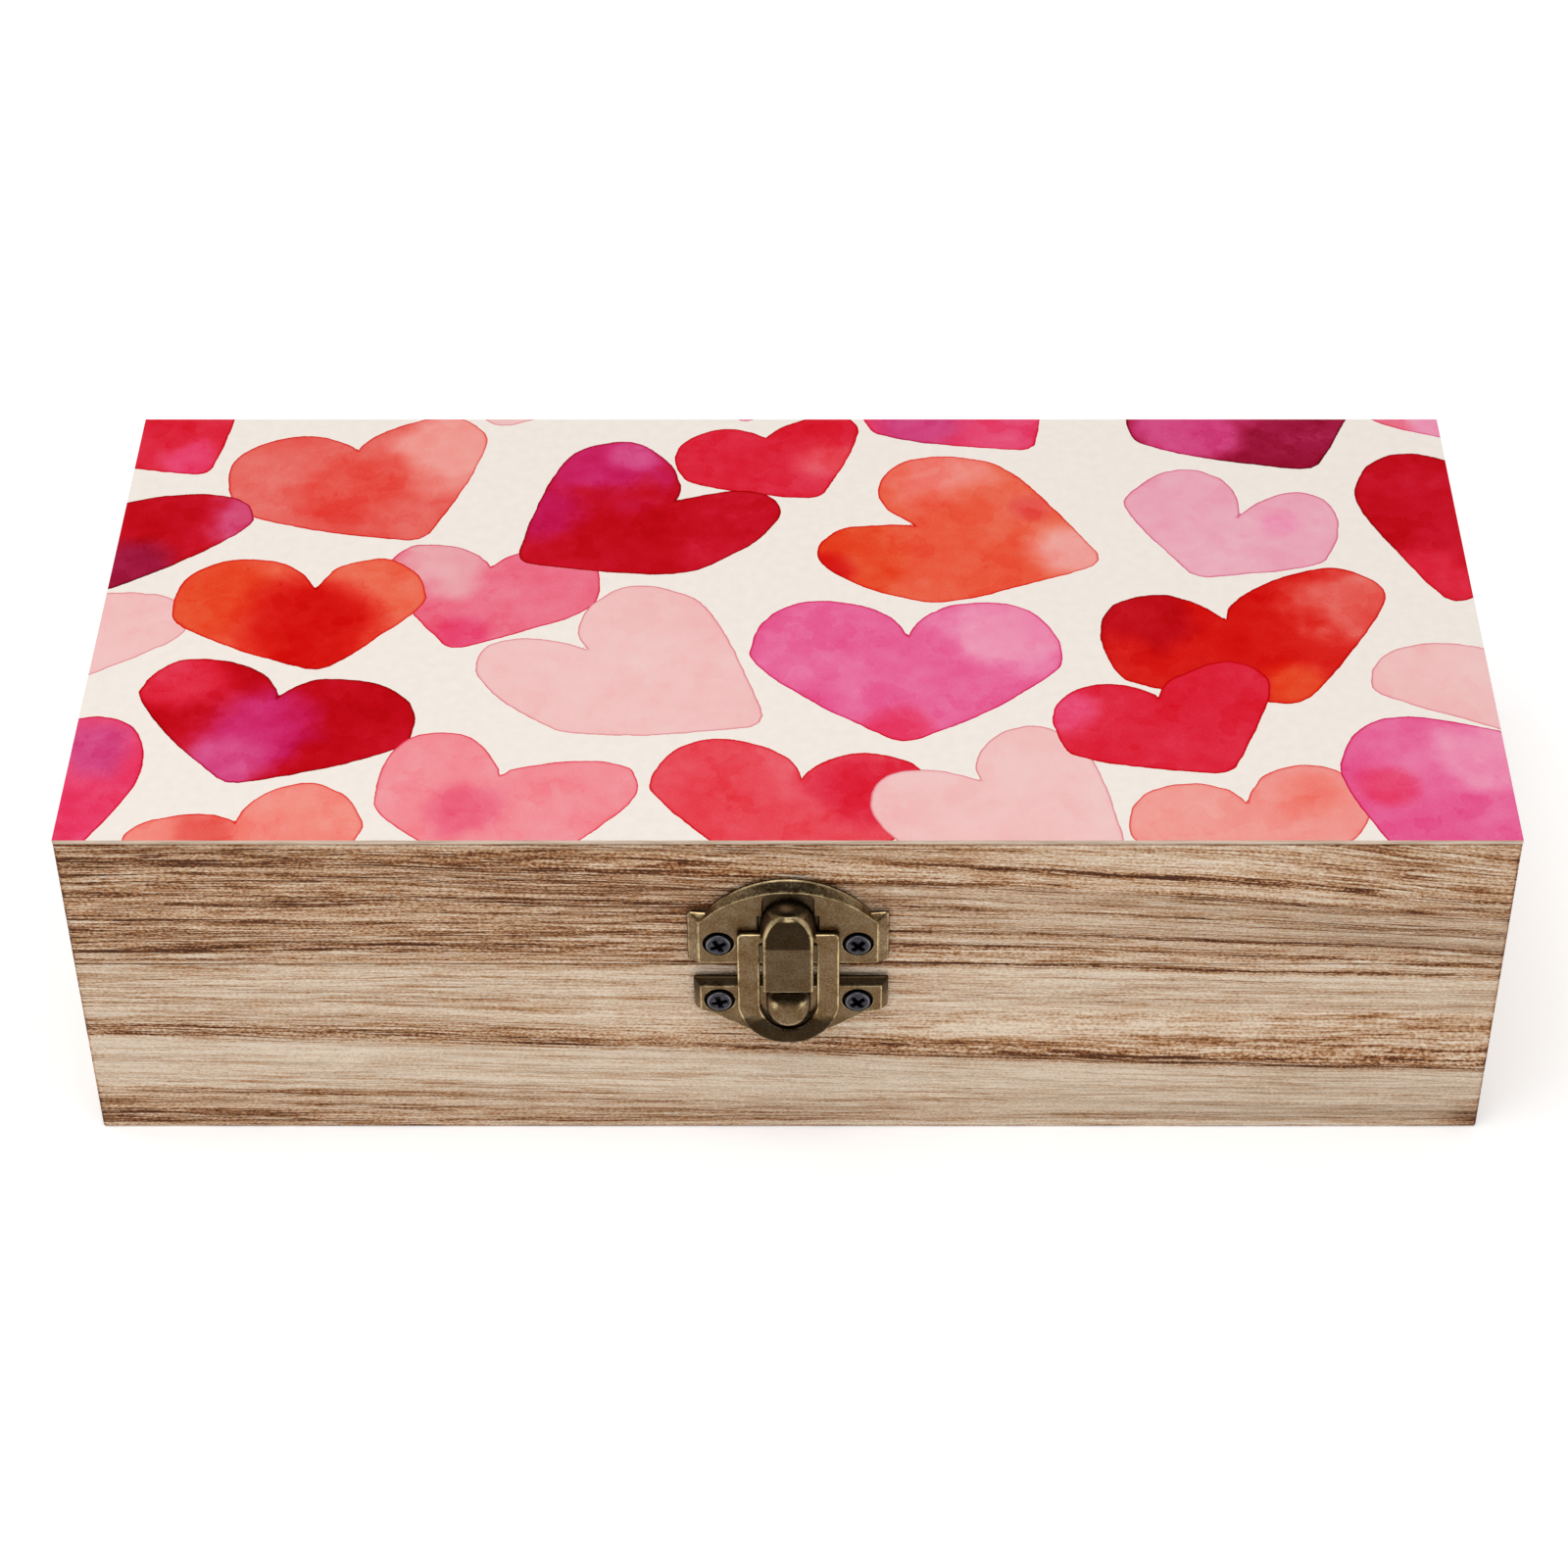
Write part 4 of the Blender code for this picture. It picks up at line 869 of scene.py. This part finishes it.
def makeHook():
    # Sections at rising heights: a flat tongue in front of the ring's bar, then a pointed
    # arch that leans back, whose walls spread to the plate. Above the arch's peak a section
    # is half an ellipse, and its height falls as a quarter of one.
    k = hookLook
    z = np.concatenate([k["bottom"] + np.array([0, 0.04, 0.12, 0.25]), np.linspace(32.9, 40.2, 9),
                        k["crease"] + np.linspace(-0.12, 0.12, 4), np.linspace(40.9, 41.7, 5),
                        np.linspace(41.85, 42.4, 7), np.linspace(42.55, 44.8, 14),
                        44.8 + 0.49 * np.sin(np.linspace(0.1, 1, 9) * math.pi / 2),
                        k["footTop"] - 1.35 * np.cos(np.linspace(0.1, 0.97, 12) * math.pi / 2)
                        ])[:, None]
    rise = np.clip((z - k["spring"]) / (k["peak"] - k["spring"]), 0, 1)
    faceHalf = k["half"] * (1 - rise**2) ** 0.56 + 0.02
    join = softStep(k["join"], k["join"] + 0.4, z)
    dome = np.clip((z - k["join"]) / (k["footTop"] - k["join"]), 0, 1)
    baseHalf = np.where(z > k["join"], k["foot"] * (1 - dome**2.8) ** 0.5,
                        k["half"] + 0.1 + 0.35 * join)
    baseHalf = np.maximum(baseHalf, faceHalf + 0.1)
    _, y, height = np.array(frame["record"]["behaviour"]["joints"][1]["pos_m"]) / mm
    hollow = frontFace - y + np.sqrt(np.maximum(0, k["hollow"] ** 2 - (z - height) ** 2))
    backOut = np.maximum(k["back"], hollow)
    backOut = backOut + (k["footOut"] - backOut) * join
    past = np.clip((z - k["peak"]) / (k["footTop"] - k["peak"]), 0, 1)
    faceOut = k["front"] - k["lean"] * np.clip((z - k["crease"]) / (k["peak"] - k["crease"]), 0, 1)
    faceOut = backOut + (faceOut - backOut) * np.sqrt(1 - 0.98 * past**2)
    pinch = 0.16 * (1 - np.clip((z - k["bottom"]) / 0.25, 0, 1) ** 0.5)  # rounded lower end
    faceOut, backOut = faceOut - pinch, backOut + pinch

    # One section: across the face, round its edge, down the wall and along the back.
    across = np.array([-1, -0.95, -0.87, -0.5, 0, 0.5, 0.87, 0.95, 1])
    wall = np.array([0.04, 0.13, 0.3, 0.6, 0.85, 1.0])
    wallWear = [1.0, 0.9, 0.1, 0, 0, 0]
    full = softStep(k["peak"] - 0.5, k["peak"], z)
    away = wall**0.75 * (1 - full) + np.sin(wall * math.pi / 2) * full
    fall = wall**1.25 * (1 - full) + (1 - np.cos(wall * math.pi / 2)) * full
    wallX = faceHalf + (baseHalf - faceHalf) * away
    wallOut = faceOut - (faceOut - backOut) * fall
    x = np.concatenate([faceHalf * across, wallX, baseHalf * [0.7, 0, -0.7], -wallX[:, ::-1]], 1)
    out = np.concatenate([faceOut + 0.07 * (1 - across**2), wallOut, backOut * np.ones(3),
                          wallOut[:, ::-1]], 1)
    wear = np.concatenate([softStep(0.86, 0.96, np.abs(across)), wallWear, [0, 0, 0], wallWear[::-1]])
    wear = wear * softStep(k["peak"] + 0.3, k["peak"] + 0.05, z)
    wear = wear * (0.5 + 0.5 * softStep(40.0, 42.0, z) + 0.3 * softStep(34.5, 33.0, z))
    # The tongue's lower front edge is rubbed brass, brightened further into a painted highlight for
    # the floor's reflection.
    wear = np.where((z < k["bottom"] + 0.2) & (out > 4.3), 1.3, wear)
    # Painted highlight: a bright spot at the arch's peak, carried as wear.
    tip = np.exp(-((x / 0.8) ** 2)) * softStep(44.6, 45.0, z) * softStep(45.6, 45.35, z)
    wear = np.maximum(wear, 1.5 * tip)
    middle = softStep(0.95, 0.88, np.abs(x) / faceHalf)
    # Painted shade: the leaning facet is darkened for its dark reflection, and the hood's flanks and
    # the hood above the peak for their shade.
    facet = softStep(k["crease"], k["crease"] + 0.12, z) * softStep(45.2, 44.6, z) * middle
    flat = 0.5 * middle * (out > 3)
    side = 0.85 * softStep(4.0, 1.5, out) * softStep(41.7, 42.4, z)
    notch = np.exp(-((x / 0.22) ** 2)) * softStep(46.0, 46.4, z)
    hood = softStep(45.2, 45.6, z) + 0 * x
    dark = np.maximum.reduce([facet, flat, side, notch, hood]) * (1 - tip)
    points, faces = capped(outward(x, z, out))
    makePiece("hook", points, faces, bronze, "lid", ["latch_plate"], {"edge": wear, "dark": dark}, 50)


noseLook = {
    "centre": 27.6, "half": 3.1, "top": 30.2, "corner": 0.9,  # of its outline, mm
    "reach": 3.25, "less": 1.6,  # in front of the plate at its low end, and less at its top
    "slope": (24.7, 5.4),  # the height where it starts to fall back, and over how many mm
    "spot": (1.9, 28.7),  # x and height of the two painted highlights
    "shade": (28.9, 29.5),  # heights between which it turns dark: painted shadow under the hook's end
}


def makeNose():
    # Rows from the middle to the outline. The face swells out as the root of one less the
    # share to the power 3.4, more at the round lower end than at the top.
    centre, half, top = (noseLook[key] for key in ("centre", "half", "top"))
    corner, face = noseLook["corner"], plateLook["face"]
    angle = np.linspace(-math.pi, 0, 33)
    lower = np.stack([half * np.cos(angle), centre + half * np.sin(angle)], -1)
    upper = roundCorners(np.array([lower[-1], (half, top), (-half, top), lower[0]]),
                         np.array([0, corner, corner, 0]), 7)[1:-1]
    x, z = np.concatenate([lower, upper]).T
    share = np.array([0.03, 0.2, 0.4, 0.6, 0.72, 0.8, 0.86, 0.9, 0.93, 0.96, 0.985, 1.0])[:, None]
    x, z = x * share, (z - centre) * share + centre
    start, run = noseLook["slope"]
    reach = noseLook["reach"] - noseLook["less"] * np.clip((z - start) / run, 0, 1)
    out = face + 0.5 + (reach - 0.5) * (1 - share**3.4) ** 0.5
    # Painted highlights, carried as wear: two bright spots on the dome's upper shoulders and a bright
    # crescent along its round lower end.
    sideways, height = noseLook["spot"]
    spots = np.exp(-((np.abs(x) - sideways) / 0.6) ** 2 - ((z - height) / 0.45) ** 2)
    low = np.clip((centre - z) / 2.6, 0, 1)
    crescentHighlight = softStep(0.0, 0.6, low) * np.exp(-((share - 0.92 + 0.2 * low) / 0.1) ** 2)
    wear = np.maximum(0.8 * crescentHighlight, 0.9 * spots)
    # Two more rows go back into the plate.
    x, z = (np.concatenate([v, v[-1:], v[-1:]]) for v in (x, z))
    out = np.concatenate([out, 0 * out[:1] + face + 0.3, 0 * out[:1] + face - 0.2])
    wear = np.concatenate([wear, 0 * wear[:2]])
    # Painted shadow of the hook's end over the nose's top.
    dark = np.maximum(0.9 * softStep(*noseLook["shade"], z), softStep(2.2, 1.8, out))
    points, faces = capped(outward(x, z, out))
    makePiece("nose", points, faces, bronze, "tray", ["catch_plate"], {"edge": wear, "dark": dark}, 60)


ringLook = {
    "half": 7.1, "inner": 4.0,  # half width outside and inside, mm
    "top": 41.3, "bar": 1.5, "corner": 0.75, "innerCorner": 0.25,
    "centre": 27.6, "drop": 6.2, "innerDrop": 4.1,  # the round end's centre and half heights
    "crease": 25.4, "lean": 19.0,  # where it bends forward, and by how many degrees
    "back": 1.85, "front": 2.65,  # its two faces in front of the wood
    "round": 0.22,  # of its edges
}


def makeRing():
    # A rounded strip of section carried round between two outlines with matched points:
    # straight bar, corners, legs and a half ellipse. Below the crease it leans forward.
    k = ringLook

    def path(half, top, corner, drop):
        bend = np.linspace(math.pi / 2, 0, 9)[1:]
        end = np.linspace(0, -math.pi / 2, 33)[1:]
        x = np.concatenate([np.linspace(0, half - corner, 9), half - corner + corner * np.cos(bend),
                            np.full(15, half), half * np.cos(end)])
        z = np.concatenate([np.full(9, top), top - corner + corner * np.sin(bend),
                            np.linspace(top - corner, k["centre"], 16)[1:],
                            k["centre"] + drop * np.sin(end)])
        return np.stack([np.append(x, -x[-2:0:-1]), np.append(z, z[-2:0:-1])], -1)

    outer = path(k["half"], k["top"], k["corner"], k["drop"])
    inner = path(k["inner"], k["top"] - k["bar"], k["innerCorner"], k["innerDrop"])
    way = unit(inner - outer)
    r, deep = k["round"], k["front"] - k["back"]
    # Once round the section, as (run from its edge, out, wear): up over the outer edge, back
    # down over the inner edge, and behind.
    front = [(r - r * math.cos(t), deep - r + r * math.sin(t), w)
             for t, w in zip(np.linspace(0, math.pi / 2, 4), (0.3, 1.0, 1.0, 0.7))]
    front.append((r + 0.15, deep, 0.0))
    behind = [(0.0, 0.1, 0.0), (0.1, 0.0, 0.0)]
    section = [(outer + way * run, out, w) for run, out, w in front]
    section += [(inner - way * run, out, w) for run, out, w in front[::-1] + behind]
    section += [(outer + way * run, out, w) for run, out, w in behind[::-1]]
    rows = []
    for loop, out, _ in section:
        fold = 0.12 * np.log1p(np.exp(np.clip((k["crease"] - loop[:, 1]) / 0.12, -30, 30)))
        rows.append(outward(*loop.T, k["back"] + out + fold * math.tan(math.radians(k["lean"]))))
    grid = np.array(rows)
    first = np.arange(len(outer))
    last = first + (len(rows) - 1) * len(outer)
    faces = bands(0, len(rows), len(outer))
    faces += np.stack([last, np.roll(last, -1), np.roll(first, -1), first], -1).tolist()
    # Painted shade: below the crease the ring is near black, for the dark reflection of its
    # forward-leaning foot, and its wear fades there.
    low = softStep(25.5, 25.0, grid[..., 2])
    wear = np.array([w for _, _, w in section])[:, None] * (1 - 0.65 * low)
    dark = 0.95 * low + 0.04 * (grid[..., 1] > frontFace - 2.2)
    makePiece("latchRing", grid.reshape(-1, 3), faces, bronze, "latch_ring", ["latch_ring"],
              {"edge": wear, "dark": dark}, 60)


screwLook = {
    # radius, rise and shank radius of a head, how far its seat lies off the wood or the
    # leaf's front, which way it looks along y
    "latch": (1.75, 0.7, 0.9, 1.55, -1),
    "hinge": (1.5, 0.45, 0.7, 0.45, 1),
    "turns": (0.25, 0.62, 0.1, 0.42, 0.9, 0.3, 1.2, 0.7, 0.2, 1.0, 0.5, 0.8),  # radians
}


def makeScrew(node, turned):
    # Turned about an axis along y: a low dome with a cross recess pressed in, a rounded
    # rim and the shank, in mm. The seat is the middle of the head's underside.
    head, rise, shank, off, way = screwLook["hinge" if "hinge" in node else "latch"]
    body = "lid" if ("latch" in node or "_lid_" in node) else "tray"
    low, high = corners(node)
    middle = (low + high) / 2
    seat = high[1] - off if way > 0 else frontFace - off
    length = seat - low[1] if way > 0 else high[1] - seat
    angle = np.linspace(0, 2 * math.pi, 96, endpoint=False)
    share = np.concatenate([np.linspace(0.02, 0.72, 27), [0.78, 0.86, 0.92, 0.965, 0.99, 1]])[:, None]
    dome = rise * (0.45 + 0.55 * np.sqrt(np.maximum(0, 1 - share**2.6)))
    p, q = np.abs(share * np.cos(angle)), np.abs(share * np.sin(angle))
    arms = [softStep(0.21, 0.14, a) * softStep(0.7, 0.6, b) for a, b in ((p, q), (q, p))]
    cross = np.maximum(*arms)
    below = np.array([(head, 0), (shank, 0), (shank, 1.5 * shank - length), (0.02, -length)])
    radius = np.concatenate([head * share, below[:, :1]]) * np.ones(96)
    height = np.concatenate([dome - cross * (0.42 - 0.3 * share) * head, below[:, 1:] * np.ones(96)])
    points, faces = capped(np.stack([
        middle[0] + radius * np.cos(angle + turned), seat + way * height,
        middle[2] + radius * np.sin(angle + turned)], -1))
    # The cross recess is painted near black: painted shade.
    dark = np.concatenate([cross, np.ones((4, 96))])
    edge = np.concatenate([np.exp(-((share - 0.93) / 0.05) ** 2) * np.ones(96), np.zeros((4, 96))])
    makePiece(node + "Head", points, faces, steel, body, [node], {"edge": edge, "dark": dark}, 50)


hingeLook = {
    "thick": 0.7, "barrel": 1.8, "gap": 0.3,  # leaf, knuckles and the play between them, mm
    "round": 0.16,  # of the leaf's edges
    "drawnIn": 0.14,  # of the knuckles' ends
}


def makeLeaf(node, body):
    # A flat leaf with worn edges, and a closed roll for each knuckle: a circle with a
    # tangent strip up into the leaf as its section, whose radius falls off at the ends.
    k = hingeLook
    up = 1 if body == "lid" else -1
    low, high = corners(node)
    radius, start = k["barrel"], k["barrel"] + k["gap"]
    axis = high[1] - radius, (low[2] + radius if up > 0 else high[2] - radius)
    flatLow, flatHigh = low.copy(), high.copy()
    flatHigh[1] = low[1] + k["thick"]
    (flatLow if up > 0 else flatHigh)[2] = axis[1] + up * start
    r = np.full(3, k["round"])
    points, faces = roundedBox(flatLow, flatHigh, (0.8, 0.4, 0.8), r, r)
    near = np.minimum(points - flatLow, flatHigh - points)
    edge = [0.8 * np.sort(softStep(0.17, 0.02, near), 1)[:, 1]]
    shells = [points]

    # The section starts on the strip's front, goes round the pin and ends on its back.
    back, front = low[1] + 0.03 - axis[0], low[1] + k["thick"] - 0.03 - axis[0]
    turn = np.linspace(math.acos(front / radius), math.acos(back / radius) - 2 * math.pi, 48)
    length = (high[0] - low[0] - 2 * k["gap"]) / 3
    run = np.array([0, 0.02, 0.06, 0.12, 0.2, 0.3, 1.5])
    x = np.concatenate([run, length - run[::-1]])[:, None]
    inward = 1 - np.clip(np.minimum(x, length - x) / 0.2, 0, 1)
    grown = radius - k["drawnIn"] * (1 - np.sqrt(1 - inward**2))
    strip = 0 * x + start + 0.5
    y = np.concatenate([0 * x + front, grown * np.cos(turn), 0 * x + back], 1)
    z = np.concatenate([strip, grown * np.sin(turn), strip], 1)
    for number in ((1,) if up > 0 else (0, 2)):
        left = low[0] + number * (length + k["gap"])
        shell, rolled = capped(np.stack([left + x + 0 * y, axis[0] + y, axis[1] + up * z], -1))
        faces += [[n + sum(map(len, shells)) for n in face] for face in rolled]
        shells.append(shell)
        edge.append((0.8 * softStep(0, 0.6, inward) + 0.12 + 0 * y).ravel())
    points = np.concatenate(shells)
    dark = 0.8 * np.exp(-((np.abs(points[:, 2] - axis[1]) - 1.75) / 0.35) ** 2)
    dark = dark * (points[:, 1] < axis[0] - 0.9) * (points[:, 1] > low[1] + 0.3)
    makePiece(node + "Rolled", points, faces, bronze, body, [node],
              {"edge": np.concatenate(edge), "dark": dark}, 50)


makePlates()
makeHook()
makeNose()
makeRing()
screws = sorted(name for name in frame["nodes"] if "screw" in name)
for node, turned in zip(screws, screwLook["turns"]):
    makeScrew(node, turned)
for side in ("left", "right"):
    for body in ("tray", "lid"):
        makeLeaf(f"hinge_{side}_{body}_leaf", body)
print("latch, hinges and screws done")


# Floor, light and camera

stageLook = {
    "floor": "#eeeeee", "glow": 0.31,
    "lights": {  # place, aim, size in metres, watts
        "overhead": ((-0.2, -0.4, 1.25), (0, 0, 0), 1.0, 10.2),
        "frontLeft": ((-0.95, -0.8, 0.5), (0, 0, 0.02), 0.5, 8.0),
        "frontRight": ((0.95, -0.8, 0.4), (0, 0, 0.02), 0.5, 9.5),
    },
    "darkCorner": (0, -0.93, 0.37),  # its direction
    "lens": 86.58, "shift": -0.0206, "place": (0.0039, -0.4256, 0.4029),
    "tilt": 41.68,  # how far the camera looks down, degrees
}


def stageAndCamera():
    k = stageLook

    def placed(name, data):
        thing = bpy.data.objects.new(name, data)
        bpy.context.scene.collection.objects.link(thing)
        return thing

    # A pale floor that glows faintly, as a light table does: nearly white, faint shadow.
    floor, _, shader = newMaterial("paleFloor", Roughness=0.9, Specular_IOR_Level=0.1,
                                   Emission_Strength=k["glow"])
    fill(shader, {"Base Color": linear(k["floor"]), "Emission Color": (1, 1, 1, 1)})
    mesh = bpy.data.meshes.new("floor")
    mesh.from_pydata([(-3, -3, 0), (3, -3, 0), (3, 3, 0), (-3, 3, 0)], [], [(0, 1, 2, 3)])
    mesh.materials.append(floor)
    ground = placed("floor", mesh)

    for name, (place, aim, size, watts) in k["lights"].items():
        lamp = bpy.data.lights.new(name, "AREA")
        lamp.size, lamp.energy = size, watts
        light = placed(name, lamp)
        light.location = place
        way = np.array(aim) - np.array(place)
        light.rotation_euler = (
            math.acos(-way[2] / np.linalg.norm(way)), 0, math.atan2(-way[0], way[1]) + math.pi)

    # White all round, with a dark corner of the room in front, for contrast in the metal.
    world = bpy.data.worlds.new("studio")
    bpy.context.scene.world = world
    world.use_nodes = True
    background = world.node_tree.nodes["Background"]
    add = partial(addNode, world.node_tree)
    sky = add("TexCoord").outputs["Generated"]
    front = add("VectorMath DOT_PRODUCT", sky, k["darkCorner"]).outputs["Value"]
    strength = add("MapRange", front, 0.72, 0.92, 0.62, 0.1, **smooth)
    fill(background, {"Color": (1, 1, 1, 1), "Strength": strength})

    lens = bpy.data.cameras.new("camera")
    lens.lens, lens.sensor_width = k["lens"], 36.0
    lens.shift_x = k["shift"]
    lens.clip_start, lens.clip_end = 0.01, 10.0
    camera = placed("camera", lens)
    camera.location = k["place"]
    camera.rotation_euler = (math.radians(90 - k["tilt"]), 0, 0)
    bpy.context.scene.camera = camera
    bpy.context.scene.view_settings.view_transform = "Standard"


stageAndCamera()
